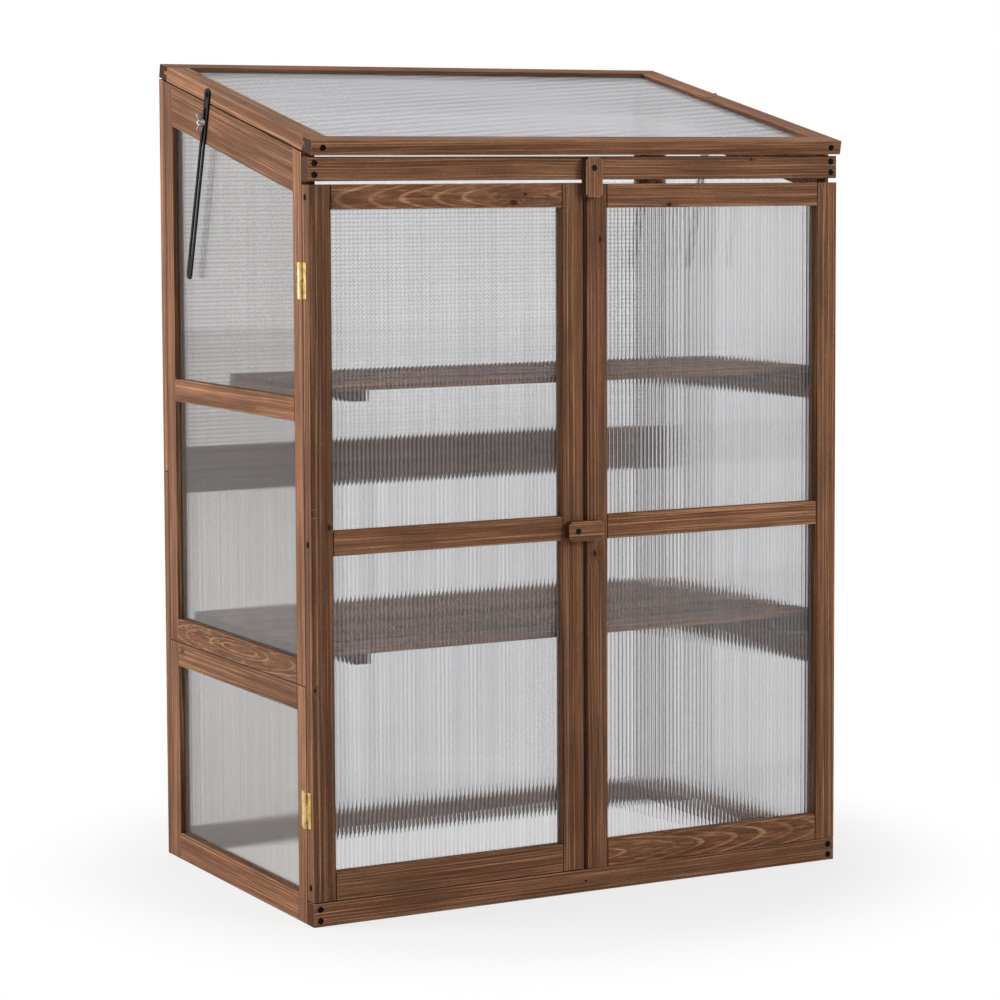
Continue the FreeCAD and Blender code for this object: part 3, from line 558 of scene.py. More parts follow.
class Finishes:
    """Every finish of the greenhouse, made once and shared by the pieces."""

    def __init__(self) -> None:
        """Sets out the finishes; their materials are built when first asked for."""
        self.frame_wood = WoodStain("stained_frame", "frame_wood")
        self.door_wood = WoodStain("stained_door", "door_wood")
        self.board_wood = WoodStain("stained_board", "board_wood")
        self.lid_wood = WoodStain("stained_lid", "lid_wood", end_shade=Step(0.35, 0.65, 0.1, 0.3))
        self.shelf_wood = WoodStain("stained_shelf", "shelf_wood")
        slot = "twin_wall_sheet"
        # The lid's sheet gets darker slanting bands, a painted reflection.
        lid = {"bend": 1.3, "reflection_band_shade": 0.72}
        self.sheets: dict[Grade, tuple[SheetPlastic, SheetPlastic]] = {
            Grade.CLEAR: (SheetPlastic("sheet_cell", slot, srgb(241, 241, 242), 0.97),
                          SheetPlastic("sheet_rib", slot, srgb(230, 230, 232), 0.78)),
            Grade.SMOKY: (SheetPlastic("side_sheet_cell", slot, srgb(211, 208, 206), 0.97),
                          SheetPlastic("side_sheet_rib", slot, srgb(202, 200, 198), 0.85)),
            # The lid's sheet is whiter and less clear than the others: painted reflection of the sloping lid.
            Grade.PAINTED_REFLECTION: (SheetPlastic("lid_sheet_cell", slot, srgb(242, 242, 246), 0.6, **lid),
                          SheetPlastic("lid_sheet_rib", slot, srgb(218, 218, 224), 0.4, **lid)),
        }
        self.brass = MetalFinish("pale_brass", "brass", srgb(238, 216, 158), srgb(196, 160, 92),
                                 metallic=1.0, roughness=(0.26, 0.44))
        self.black = MetalFinish("black_enamel", "black_steel", srgb(6, 6, 7), srgb(18, 18, 19),
                                 metallic=0.0, roughness=(0.45, 0.65), gloss=0.15)
        self.zinc = MetalFinish("bright_zinc", "zinc", srgb(226, 229, 233), srgb(176, 179, 184),
                                metallic=1.0, roughness=(0.22, 0.4))
        self._made: dict[str, bpy.types.Material] = {}

    def material(self, finish: WoodStain | SheetPlastic | MetalFinish) -> bpy.types.Material:
        """The material of a finish, built on first use.

        Args:
            finish: the finish.

        Returns:
            Its material.
        """
        if finish.name not in self._made:
            self._made[finish.name] = finish.material()
        return self._made[finish.name]


# ---------------------------------------------------------------- meshes

def node_mesh(node: str) -> bmesh.types.BMesh:
    """Copies a node's solids as closed meshes with one face for each flat side.

    Args:
        node: the node's name.

    Returns:
        The copy, to be freed by whoever asked for it.
    """
    mesh = bmesh.new()
    mesh.from_mesh(frame["nodes"][node].data)
    bmesh.ops.remove_doubles(mesh, verts=mesh.verts, dist=MERGE_DISTANCE)
    bmesh.ops.dissolve_limit(mesh, angle_limit=FLAT_WITHIN, verts=mesh.verts, edges=mesh.edges)
    return mesh


def solids(mesh: bmesh.types.BMesh) -> list[list[bmesh.types.BMVert]]:
    """Sorts a mesh's points into its separate solids.

    Args:
        mesh: the mesh.

    Returns:
        The points of each solid.
    """
    seen: set[bmesh.types.BMVert] = set()
    found = []
    for start in mesh.verts:
        if start in seen:
            continue
        seen.add(start)
        solid, waiting = [], [start]
        while waiting:
            point = waiting.pop()
            solid.append(point)
            for edge in point.link_edges:
                other = edge.other_vert(point)
                if other not in seen:
                    seen.add(other)
                    waiting.append(other)
        found.append(solid)
    return found


def solid_boxes(node: str) -> list[tuple[Vector, Vector]]:
    """The lowest and highest corners of each solid of a node.

    Args:
        node: the node's name.

    Returns:
        A pair of corners for each solid.
    """
    mesh = node_mesh(node)
    boxes = []
    for solid in solids(mesh):
        low = Vector([min(point.co[axis] for point in solid) for axis in range(3)])
        high = Vector([max(point.co[axis] for point in solid) for axis in range(3)])
        boxes.append((low, high))
    mesh.free()
    return boxes


@cache
def board_boxes() -> list[tuple[Vector, Vector]]:
    """The corners of every board that lies square to the frame.

    Returns:
        A pair of corners for each board.
    """
    return [box for entry in frame["record"]["subparts"]
            if entry["material_slot"].endswith("_wood") and not entry["node"].startswith("lid")
            and "sloped" not in entry["node"] for box in solid_boxes(entry["node"])]


def in_joint(point: Vector) -> bool:
    """Whether a point on the edge of a board has a second board beside it.

    Args:
        point: the point.

    Returns:
        Whether it lies in a joint.
    """
    touching = sum(all(low[axis] - JOINT_REACH < point[axis] < high[axis] + JOINT_REACH
                       for axis in range(3)) for low, high in board_boxes())
    return touching > 1


def add_piece(name: str, mesh: bmesh.types.BMesh, body: str,
              materials: Sequence[bpy.types.Material], replaced: Sequence[str] = ()) -> None:
    """Puts a finished mesh in the scene as a piece of the greenhouse.

    Args:
        name: the piece's name.
        mesh: its mesh, which is freed.
        body: the body it rides on.
        materials: its materials, in the order of its faces' indices.
        replaced: the nodes it stands for.
    """
    data = bpy.data.meshes.new(name)
    mesh.to_mesh(data)
    mesh.free()
    for material in materials:
        data.materials.append(material)
    piece = bpy.data.objects.new(name, data)
    bpy.context.scene.collection.objects.link(piece)
    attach(piece, body)
    if replaced:
        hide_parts(*replaced)
    log.info("%s: %d faces on %s", name, len(data.polygons), body)


@dataclass(frozen=True)
class ScrewKind:
    """A kind of cross-head screw, whose head is a sunk disc with four raised quarters."""

    radius: float
    recess: float
    depth: float
    bore: float = 0.0
    sink: float = 0.0
    quarters: int = 4
    segments: int = 10
    taper: float = 0.7
    rim_depth: float = 0.3
    top_share: float = 0.86

    def outline(self, quarter: int) -> list[Vector]:
        """The outline of one quarter of the head, seen from above.

        Args:
            quarter: which quarter, counted round the head.

        Returns:
            Its corners, in order.
        """
        half = self.recess / 2
        start = math.asin(half / self.radius)
        span = math.tau / self.quarters
        turn = Matrix.Rotation(quarter * span, 3, "Z")
        arc = [start + (span - 2 * start) * step / self.segments
               for step in range(self.segments + 1)]
        points = [Vector((self.radius * math.cos(angle), self.radius * math.sin(angle), 0))
                  for angle in arc]
        points.append(Vector((half, half, 0)))
        return [turn @ point for point in points]

    def build(self, mesh: bmesh.types.BMesh, seat: Matrix) -> None:
        """Adds one head to a mesh.

        Args:
            mesh: the mesh to add to.
            seat: where the head sits; it faces along its own Z axis.
        """
        def level(points: Sequence[Vector], depth: float) -> list[bmesh.types.BMVert]:
            """A ring of points at a depth below the top."""
            down = seat @ Matrix.Translation((0, 0, -depth))
            return [mesh.verts.new(down @ point) for point in points]

        sunk = self.depth + self.depth / 2
        disc = seat @ Matrix.Translation((0, 0, -sunk))
        bmesh.ops.create_cone(mesh, cap_ends=True, segments=self.segments * self.quarters,
                              radius1=self.radius * self.taper, radius2=self.radius,
                              depth=self.depth, matrix=disc)
        for quarter in range(self.quarters):
            outline = self.outline(quarter)
            middle = sum(outline, Vector()) / len(outline)
            lower = level(outline, self.depth)
            rim = level(outline, self.depth * self.rim_depth)
            top = level([middle + (point - middle) * self.top_share for point in outline], 0.0)
            mesh.faces.new(top)
            mesh.faces.new(lower[::-1])
            for below, above in ((lower, rim), (rim, top)):
                for index, point in enumerate(below):
                    following = (index + 1) % len(below)
                    mesh.faces.new((point, below[following], above[following], above[index]))


WOOD_SCREW = ScrewKind(radius=0.0036, recess=0.0013, depth=0.0008, bore=0.0041, sink=0.0012)
HINGE_SCREW = ScrewKind(radius=0.0021, recess=0.0007, depth=0.0003)


@dataclass(frozen=True)
class ScrewSpot:
    """Where a screw goes in: a point of the surface and the way out of it."""

    at: Vector
    out: Vector

    def seat(self, sink: float) -> Matrix:
        """The head's own frame, sunk below the surface by a depth."""
        turn = self.out.to_track_quat("Z", "Y").to_matrix().to_4x4()
        return Matrix.Translation(self.at - self.out * sink) @ turn


@dataclass
class ScrewSet:
    """The screws of one kind on one body."""

    name: str
    body: str
    kind: ScrewKind
    finish: MetalFinish
    spots: Sequence[ScrewSpot]

    def build(self, finishes: Finishes) -> None:
        """Makes the screws as one piece.

        Args:
            finishes: the finishes.
        """
        mesh = bmesh.new()
        for spot in self.spots:
            self.kind.build(mesh, spot.seat(self.kind.sink))
        bmesh.ops.recalc_face_normals(mesh, faces=mesh.faces)
        add_piece(self.name, mesh, self.body, [finishes.material(self.finish)])


# ---------------------------------------------------------------- boards

@dataclass(frozen=True)
class Sawing:
    """Where the middle of the tree lay beside a board, and how far the grain runs out of it.

    The angle is 0 where the middle of the tree lay beyond an edge and a quarter turn where it lay
    under the broad side; swing is how far the angle may stray.
    """

    angle: float
    swing: float
    reach: tuple[float, float]
    run_out: float


class Cut(Enum):
    """The figures that boards show on their broad side."""

    LINES = Sawing(0.0, 0.5, (0.03, 0.09), 0.008)
    ARCHES = Sawing(math.pi / 2, 0.3, (0.008, 0.015), 0.09)


@dataclass
class Boards:
    """The boards of one node, with eased edges, bored for screws and cut from their own trees.

    The tones say how pale each board is and the cuts how it was sawn, in order of height, then from
    front to back, then from left to right. A node marked for it gets painted shade on all its narrow sides.
    """

    node: str
    body: str
    grain: Direction
    finish: WoodStain
    screws: Sequence[ScrewSpot] = ()
    easing: float = 0.0008
    shortest_eased: float = 0.004
    tones: Sequence[float] = ()
    cuts: Sequence[Cut] = ()
    shade_painted_on_sides: bool = False
    painted_side_shade: float = -0.85
    front_tilt: float = 0.6
    bore_depth: float = 0.006
    bore_segments: int = 32
    easing_segments: int = 2
    sharp: float = math.radians(40)
    end_tilt: float = 0.9
    broad_tilt: float = 0.7
    trunk: float = 20.0
    side_lean: float = 0.25

    def bored(self, mesh: bmesh.types.BMesh) -> bmesh.types.BMesh:
        """Sinks a round hole for each screw.

        Args:
            mesh: the boards, which are freed.

        Returns:
            The bored boards.
        """
        cutter = bmesh.new()
        for spot in self.screws:
            bmesh.ops.create_cone(cutter, cap_ends=True, segments=self.bore_segments,
                                  radius1=WOOD_SCREW.bore, radius2=WOOD_SCREW.bore,
                                  depth=self.bore_depth, matrix=spot.seat(0.0))
        objects = []
        for label, made in (("bored", mesh), ("cutter", cutter)):
            data = bpy.data.meshes.new(label)
            made.to_mesh(data)
            made.free()
            objects.append(bpy.data.objects.new(label, data))
            bpy.context.scene.collection.objects.link(objects[-1])
        blank, tool = objects
        modifier = blank.modifiers.new("bores", "BOOLEAN")
        modifier.operation = "DIFFERENCE"
        modifier.solver = "EXACT"
        modifier.object = tool
        depsgraph = bpy.context.evaluated_depsgraph_get()
        result = bmesh.new()
        result.from_object(blank, depsgraph)
        for item in objects:
            data = item.data
            bpy.data.objects.remove(item)
            bpy.data.meshes.remove(data)
        bmesh.ops.remove_doubles(result, verts=result.verts, dist=MERGE_DISTANCE)
        return result

    def ease_edges(self, mesh: bmesh.types.BMesh) -> None:
        """Rounds the outer edges, marks the new faces as worn or as darker in a joint, and can paint shade on the
        narrow sides.

        Args:
            mesh: the boards.
        """
        arris = mesh.faces.layers.float.new("arris")
        edges = [edge for edge in mesh.edges
                 if len(edge.link_faces) == 2 and edge.calc_length() > self.shortest_eased
                 and edge.calc_face_angle_signed() > self.sharp]
        worn = bmesh.ops.bevel(mesh, geom=edges, offset=self.easing,
                               segments=self.easing_segments, profile=0.5, affect="EDGES",
                               clamp_overlap=False)["faces"]
        for face in worn:
            face[arris] = -1.0 if in_joint(face.calc_center_median()) else 1.0
            face.smooth = True
        # Painted shade: every narrow side of the node is darkened like a face in shadow.
        if self.shade_painted_on_sides:
            mesh.normal_update()
            for face in mesh.faces:
                if abs(face.normal.y) < self.front_tilt:
                    face[arris] = self.painted_side_shade

    def cross_section(self, board: Sequence[bmesh.types.BMVert]) -> tuple[Vector, Vector]:
        """The two directions across a board's grain, the wider one first.

        Args:
            board: the board's points.

        Returns:
            The wider and the thinner direction.
        """
        along = self.grain.vector
        level = self.grain is Direction.SIDEWAYS
        first = Direction.UPRIGHT.vector if level else Direction.SIDEWAYS.vector
        second = along.cross(first)

        def span(axis: Vector) -> float:
            """How far the board reaches along an axis."""
            reach = [point.co.dot(axis) for point in board]
            return max(reach) - min(reach)

        return (first, second) if span(first) > span(second) else (second, first)

    def grow(self, mesh: bmesh.types.BMesh) -> None:
        """Gives every board its place in a tree, its tone, its broad sides and its end grain.

        Args:
            mesh: the boards.
        """
        along = self.grain.vector
        place = mesh.verts.layers.float_vector.new("grain")
        tone = mesh.verts.layers.float.new("tone")
        end_grain = mesh.faces.layers.float.new("end_grain")
        broad = mesh.faces.layers.float.new("broad")
        boards = [(sum((point.co for point in board), Vector()) / len(board), board)
                  for board in solids(mesh)]
        boards.sort(key=lambda entry: [round(part, 2) for part in entry[0].zyx])
        for index, (middle, board) in enumerate(boards):
            draw = random.Random(f"{self.node} {index}")
            across, through = self.cross_section(board)
            sawing = (self.cuts[index] if index < len(self.cuts) else Cut.LINES).value
            angle = sawing.angle + draw.uniform(-1, 1) * sawing.swing
            reach = draw.uniform(*sawing.reach)
            start = Vector((draw.uniform(0, self.trunk), reach * math.cos(angle),
                            reach * math.sin(angle)))
            lean = (draw.uniform(-1, 1) * sawing.run_out * self.side_lean,
                    draw.choice((-1, 1)) * sawing.run_out)
            pale = self.tones[index] if index < len(self.tones) else draw.uniform(-1, 1)
            for point in board:
                local = point.co - middle
                length = local.dot(along)
                point[place] = start + Vector((length, local.dot(across) + lean[0] * length,
                                               local.dot(through) + lean[1] * length))
                point[tone] = pale
            for face in {face for point in board for face in point.link_faces}:
                face[end_grain] = float(abs(face.normal.dot(along)) > self.end_tilt)
                face[broad] = float(abs(face.normal.dot(through)) > self.broad_tilt)

    def build(self, finishes: Finishes) -> None:
        """Makes the boards as one piece that stands for the node.

        Args:
            finishes: the finishes.
        """
        mesh = node_mesh(self.node)
        if self.screws:
            mesh = self.bored(mesh)
        self.ease_edges(mesh)
        mesh.normal_update()
        self.grow(mesh)
        add_piece(f"{self.node}_wood", mesh, self.body,
                  [finishes.material(self.finish)], [self.node])


# ---------------------------------------------------------------- twin-wall sheets

@dataclass(frozen=True)
class Lay:
    """How a pane lies: across its flutes, along them and through the sheet."""

    across: Direction
    along: Direction
    through: Direction


class Flutes(Enum):
    """The lays of the greenhouse's panes."""

    SIDE = Lay(Direction.DEPTHWAYS, Direction.UPRIGHT, Direction.SIDEWAYS)
    UPRIGHT = Lay(Direction.SIDEWAYS, Direction.UPRIGHT, Direction.DEPTHWAYS)
    LEVEL = Lay(Direction.UPRIGHT, Direction.SIDEWAYS, Direction.DEPTHWAYS)
    LID = Lay(Direction.UP_THE_SLOPE, Direction.SIDEWAYS, Direction.OUT_OF_THE_SLOPE)


@dataclass
class Sheets:
    """The panes of one node as fluted twin-wall sheet."""

    PROFILE: ClassVar[tuple[tuple[float, float], ...]] = (
        (-1.0, 0.0), (-0.5, 0.75), (0.0, 1.0), (0.5, 0.75), (1.0, 0.0))

    node: str
    body: str
    flutes: Sequence[Flutes]
    grade: Grade = Grade.CLEAR
    pitch: float = 0.00574
    rib_width: float = 0.0032
    ridge: float = 0.00028
    edge_width: float = 0.0001

    def build_pane(self, mesh: bmesh.types.BMesh, corners: Sequence[Vector], lay: Lay) -> None:
        """Adds one pane, with a ridge on both faces over every rib.

        Args:
            mesh: the mesh to add to.
            corners: the corners of the node's pane.
            lay: how the pane lies.
        """
        axes = [direction.vector for direction in (lay.across, lay.along, lay.through)]
        local = [Vector([corner.dot(axis) for axis in axes]) for corner in corners]
        start, end = min(point.x for point in local), max(point.x for point in local)
        inner, outer = min(point.z for point in local), max(point.z for point in local)

        def ends(at: float) -> tuple[float, float]:
            """Where the pane's flutes start and end at one of its edges."""
            heights = [point.y for point in local if abs(point.x - at) < self.edge_width]
            return min(heights), max(heights)

        first, last = ends(start), ends(end)
        layers = mesh.verts.layers.float_vector
        flute = layers.get("flute") or layers.new("flute")

        def row(at: float, lift: float) -> list[bmesh.types.BMVert]:
            """Four points across the sheet: inner face low and high, outer face high and low.

            Args:
                at: where the row lies across the flutes.
                lift: how far it rises towards the crest of a ridge, from 0 to 1.

            Returns:
                The four points, in order round the sheet.
            """
            share = (at - start) / (end - start)
            low = first[0] + (last[0] - first[0]) * share
            high = first[1] + (last[1] - first[1]) * share
            rest = self.ridge * (1 - lift)
            made = []
            for height, depth in ((low, inner + rest), (high, inner + rest), (high, outer - rest),
                                  (low, outer - rest)):
                point = mesh.verts.new(axes[0] * at + axes[1] * height + axes[2] * depth)
                point[flute] = Vector((at, height, depth))
                made.append(point)
            return made

        half = self.rib_width / 2
        count = int((end - start) / self.pitch)
        margin = (end - start - count * self.pitch) / 2
        stations = [(start, 0.0)]
        for rib in range(count + 1):
            centre = start + margin + rib * self.pitch
            stations += [(centre + step * half, lift) for step, lift in self.PROFILE
                         if start < centre + step * half < end]
        stations.append((end, 0.0))
        rows = [row(at, lift) for at, lift in stations]
        mesh.faces.new(rows[0])
        mesh.faces.new(rows[-1][::-1])
        for near, far, (_, near_lift), (_, far_lift) in zip(rows, rows[1:], stations, stations[1:]):
            for side in range(4):
                following = (side + 1) % 4
                face = mesh.faces.new((near[side], far[side], far[following], near[following]))
                face.material_index = int(min(near_lift, far_lift) > 0)

    def build(self, finishes: Finishes) -> None:
        """Makes the panes as one piece that stands for the node.

        Args:
            finishes: the finishes.
        """
        source = node_mesh(self.node)
        panes = sorted(([point.co.copy() for point in solid] for solid in solids(source)),
                       key=lambda corners: min(corner.z for corner in corners))
        source.free()
        mesh = bmesh.new()
        for corners, flutes in zip(panes, self.flutes):
            self.build_pane(mesh, corners, flutes.value)
        bmesh.ops.recalc_face_normals(mesh, faces=mesh.faces)
        cell, rib = finishes.sheets[self.grade]
        add_piece(f"{self.node}_sheet", mesh, self.body,
                  [finishes.material(cell), finishes.material(rib)], [self.node])


# ---------------------------------------------------------------- hardware that the frame holds

@dataclass
class Hardware:
    """Metal nodes that keep their shape and get a finish and softened edges."""

    nodes: Sequence[str]
    finish: MetalFinish
    easing: float = 0.0002
    sharp: float = math.radians(50)

    def build(self, finishes: Finishes) -> None:
        """Dresses the nodes.

        Args:
            finishes: the finishes.
        """
        for name in self.nodes:
            item = frame["nodes"][name]
            item.data.materials.clear()
            item.data.materials.append(finishes.material(self.finish))
            bevel = item.modifiers.new("softened", "BEVEL")
            bevel.width = self.easing
            bevel.segments = 1
            bevel.limit_method = "ANGLE"
            bevel.angle_limit = self.sharp
            log.info("%s: %s", name, self.finish.name)


# ---------------------------------------------------------------- sub-assemblies

@dataclass
class Cabinet:
    """The side and back frames, the front boards and the shelves."""

    SIDE_BOARDS: ClassVar[tuple[tuple[str, Direction, tuple[float, ...], Cut], ...]] = (
        ("lower_stiles", Direction.UPRIGHT, (0.6, -0.4), Cut.LINES),
        ("upper_stiles", Direction.UPRIGHT, (0.7, -0.5), Cut.LINES),
        ("lower_rails", Direction.DEPTHWAYS, (0.1, -1.2), Cut.LINES),
        ("upper_rails", Direction.DEPTHWAYS, (-1.2, 0.0), Cut.ARCHES),
        ("sloped_rail", Direction.UP_THE_SLOPE, (-0.6,), Cut.LINES),
    )
    BACK_BOARDS: ClassVar[tuple[tuple[str, Direction], ...]] = (
        ("back_lower_stiles", Direction.UPRIGHT), ("back_upper_stiles", Direction.UPRIGHT),
        ("back_lower_rails", Direction.SIDEWAYS), ("back_upper_rails", Direction.SIDEWAYS),
    )
    SHELF_BOARDS: ClassVar[tuple[tuple[str, Direction], ...]] = (
        ("lower_shelf_slats", Direction.SIDEWAYS), ("lower_shelf_battens", Direction.DEPTHWAYS),
        ("upper_shelf_slats", Direction.SIDEWAYS), ("upper_shelf_battens", Direction.DEPTHWAYS),
        ("shelf_cleats", Direction.DEPTHWAYS),
    )

    board_inset: float = 0.009
    screw_spacing: float = 0.014
    side_ridge: float = 0.00008
    front_tones: tuple[float] = (0.3,)

    def front_board_screws(self, node: str) -> list[ScrewSpot]:
        """The two screws at each end of a front board.

        Args:
            node: the board's node.

        Returns:
            The four places.
        """
        low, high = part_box(node)
        middle = (low.z + high.z) / 2
        return [ScrewSpot(Vector((side, low.y, middle + step)), Vector((0, -1, 0)))
                for side in (low.x + self.board_inset, high.x - self.board_inset)
                for step in (-self.screw_spacing / 2, self.screw_spacing / 2)]

    def build_side(self, side: str, grade: Grade, finishes: Finishes) -> None:
        """Builds one side frame and its panes.

        Args:
            side: left or right.
            grade: the kind of sheet in it.
            finishes: the finishes.
        """
        for node, grain, tones, cut in self.SIDE_BOARDS:
            Boards(f"{side}_{node}", "cabinet", grain, finishes.frame_wood, tones=tones,
                   cuts=(cut,)).build(finishes)
        Sheets(f"{side}_side_panes", "cabinet", [Flutes.SIDE] * 3, grade,
               ridge=self.side_ridge).build(finishes)

    def build_front(self, finishes: Finishes) -> None:
        """Builds the header, the bottom board and their screws.

        Args:
            finishes: the finishes.
        """
        spots = []
        for node in ("header_board", "bottom_board"):
            here = self.front_board_screws(node)
            Boards(node, "cabinet", Direction.SIDEWAYS, finishes.board_wood, here,
                   tones=self.front_tones).build(finishes)
            spots += here
        ScrewSet("cabinet_wood_screws", "cabinet", WOOD_SCREW, finishes.black,
                 spots).build(finishes)

    def build(self, finishes: Finishes) -> None:
        """Builds the cabinet's pieces.

        Args:
            finishes: the finishes.
        """
        self.build_side("left", Grade.SMOKY, finishes)
        self.build_side("right", Grade.CLEAR, finishes)
        for node, grain in self.BACK_BOARDS:
            Boards(node, "cabinet", grain, finishes.frame_wood).build(finishes)
        Sheets("back_panes", "cabinet", [Flutes.UPRIGHT, Flutes.LEVEL]).build(finishes)
        self.build_front(finishes)
        for node, grain in self.SHELF_BOARDS:
            Boards(node, "cabinet", grain, finishes.shelf_wood).build(finishes)


@dataclass(frozen=True)
class DoorTones:
    """How pale the boards of one door are, and how its rails are cut, from the bottom rail up."""

    hinge: tuple[float]
    meeting: tuple[float]
    rails: tuple[float, float, float]
    cuts: tuple[Cut, Cut, Cut]


@dataclass
class Door:
    """One door: two stiles, three rails, two panes and the screws in its outer edge."""

    TONES: ClassVar[dict[str, DoorTones]] = {
        "left": DoorTones((-1.2,), (0.0,), (-0.4, 0.5, 0.8), (Cut.LINES, Cut.LINES, Cut.ARCHES)),
        "right": DoorTones((0.2,), (-0.5,), (0.2, 2.0, 0.6), (Cut.ARCHES, Cut.LINES, Cut.LINES)),
    }

    side: str

    def edge_screws(self) -> list[ScrewSpot]:
        """The screws through the outer edge into the rails.

        Returns:
            A place for each rail.
        """
        low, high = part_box(f"{self.side}_door_hinge_stile")
        edge, out = (low.x, -1.0) if self.side == "left" else (high.x, 1.0)
        rails = node_mesh(f"{self.side}_door_rails")
        heights = []
        for rail in solids(rails):
            levels = [point.co.z for point in rail]
            heights.append((min(levels) + max(levels)) / 2)
        rails.free()
        return [ScrewSpot(Vector((edge, (low.y + high.y) / 2, height)), Vector((out, 0, 0)))
                for height in heights]

    def build(self, finishes: Finishes) -> None:
        """Builds the door's pieces.

        Args:
            finishes: the finishes.
        """
        door = f"{self.side}_door"
        tones = self.TONES[self.side]
        spots = self.edge_screws()
        wood = finishes.door_wood
        Boards(f"{door}_hinge_stile", door, Direction.UPRIGHT, wood, spots,
               tones=tones.hinge).build(finishes)
        Boards(f"{door}_meeting_stile", door, Direction.UPRIGHT, wood,
               tones=tones.meeting).build(finishes)
        Boards(f"{door}_rails", door, Direction.SIDEWAYS, wood, tones=tones.rails,
               cuts=tones.cuts).build(finishes)
        Sheets(f"{door}_panes", door, [Flutes.UPRIGHT] * 2).build(finishes)
        ScrewSet(f"{door}_wood_screws", door, WOOD_SCREW, finishes.black, spots).build(finishes)


@dataclass
class Lid:
    """The sloping lid: front and back rails between which the side rails and the pane are held."""

    screw_inset: float = 0.0155
    side_tones: tuple[float, float] = (0.8, 0.4)

    def rail_screws(self, node: str, out: Vector) -> list[ScrewSpot]:
        """The screw at each end of a lid rail, in the middle of its outer face.

        Args:
            node: the rail's node.
            out: the way its outer face looks.

        Returns:
            The two places.
        """
        mesh = node_mesh(node)
        points = [point.co.copy() for point in mesh.verts]
        mesh.free()
        upward = Direction.OUT_OF_THE_SLOPE.vector
        face = max(point.dot(out) for point in points)
        levels = [point.dot(upward) for point in points]
        level = (min(levels) + max(levels)) / 2
        reach = max(point.x for point in points) - self.screw_inset
        return [ScrewSpot(Vector((side * reach, 0, 0)) + out * face + upward * level, out)
                for side in (-1, 1)]

    def build(self, finishes: Finishes) -> None:
        """Builds the lid's pieces.

        Args:
            finishes: the finishes.
        """
        up_slope = Direction.UP_THE_SLOPE.vector
        spots = []
        for node, out in (("lid_front_rail", -up_slope), ("lid_back_rail", up_slope)):
            here = self.rail_screws(node, out)
            Boards(node, "lid", Direction.SIDEWAYS, finishes.lid_wood, here).build(finishes)
            spots += here
        Boards("lid_side_rails", "lid", Direction.UP_THE_SLOPE, finishes.lid_wood,
               tones=self.side_tones).build(finishes)
        Sheets("lid_pane", "lid", [Flutes.LID], Grade.PAINTED_REFLECTION).build(finishes)
        ScrewSet("lid_wood_screws", "lid", WOOD_SCREW, finishes.black, spots).build(finishes)


@dataclass
class Hinges:
    """The brass hinges and their screws."""

    screw_step: float = 0.0125
    screw_line: float = 0.008
    fixed_lid_screw_line: float = 0.0145
    leaf_thickness: float = 0.0011

    def pin(self, joint: str) -> Vector:
        """A point on the axis of a joint."""
        return Vector(next(entry["pos_m"] for entry in frame["joints"] if entry["name"] == joint))

    def door_leaf_screws(self, low: Vector, high: Vector, direction: float) -> list[ScrewSpot]:
        """The two screws of a leaf on an outer side of the cabinet.

        Args:
            low: the leaf's lowest corner.
            high: its highest corner.
            direction: -1 for a leaf in front of the pin, 1 for one behind it.

        Returns:
            The two places.
        """
        left = low.x < 0
        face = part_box("left_lower_stiles")[0].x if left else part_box("right_lower_stiles")[1].x
        out = Vector((-1 if left else 1, 0, 0))
        middle = (low.z + high.z) / 2
        surface = face + out.x * self.leaf_thickness
        line = self.pin("left_door_hinge").y + direction * self.screw_line
        return [ScrewSpot(Vector((surface, line, middle + step)), out)
                for step in (-self.screw_step, self.screw_step)]

    def fixed_leaf_screws(self) -> list[ScrewSpot]:
        """The screws of the leaves that stay on the cabinet, beside the doors and under the lid.

        Returns:
            Two places for each leaf.
        """
        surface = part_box("back_upper_rails")[1].y + self.leaf_thickness
        height = self.pin("lid_hinge").z - self.fixed_lid_screw_line
        spots = []
        for low, high in solid_boxes("cabinet_hinge_leaves"):
            if high.z - low.z > high.x - low.x:
                spots += self.door_leaf_screws(low, high, 1)
            else:
                middle = (low.x + high.x) / 2
                spots += [ScrewSpot(Vector((middle + step, surface, height)), Vector((0, 1, 0)))
                          for step in (-self.screw_step, self.screw_step)]
        return spots

    def lid_leaf_screws(self) -> list[ScrewSpot]:
        """The screws of the leaves on the lid's back rail.

        Returns:
            Two places for each leaf.
        """
        up_slope = Direction.UP_THE_SLOPE.vector
        out_of_slope = Direction.OUT_OF_THE_SLOPE.vector
        rail = node_mesh("lid_back_rail")
        back = max(point.co.dot(up_slope) for point in rail.verts)
        rail.free()
        level = self.pin("lid_hinge").dot(out_of_slope) + self.screw_line
        surface = up_slope * (back + self.leaf_thickness) + out_of_slope * level
        return [ScrewSpot(Vector(((low.x + high.x) / 2 + step, 0, 0)) + surface, up_slope)
                for low, high in solid_boxes("lid_hinge_leaves")
                for step in (-self.screw_step, self.screw_step)]

    def build(self, finishes: Finishes) -> None:
        """Dresses the leaves and adds their screws.

        Args:
            finishes: the finishes.
        """
        Hardware(("cabinet_hinge_leaves", "left_door_hinge_leaves", "right_door_hinge_leaves",
                  "lid_hinge_leaves"), finishes.brass).build(finishes)
        sets = {"cabinet": self.fixed_leaf_screws()}
        for door in ("left_door", "right_door"):
            sets[door] = [spot for low, high in solid_boxes(f"{door}_hinge_leaves")
                          for spot in self.door_leaf_screws(low, high, -1)]
        sets["lid"] = self.lid_leaf_screws()
        for body, spots in sets.items():
            ScrewSet(f"{body}_hinge_screws", body, HINGE_SCREW, finishes.brass,
                     spots).build(finishes)


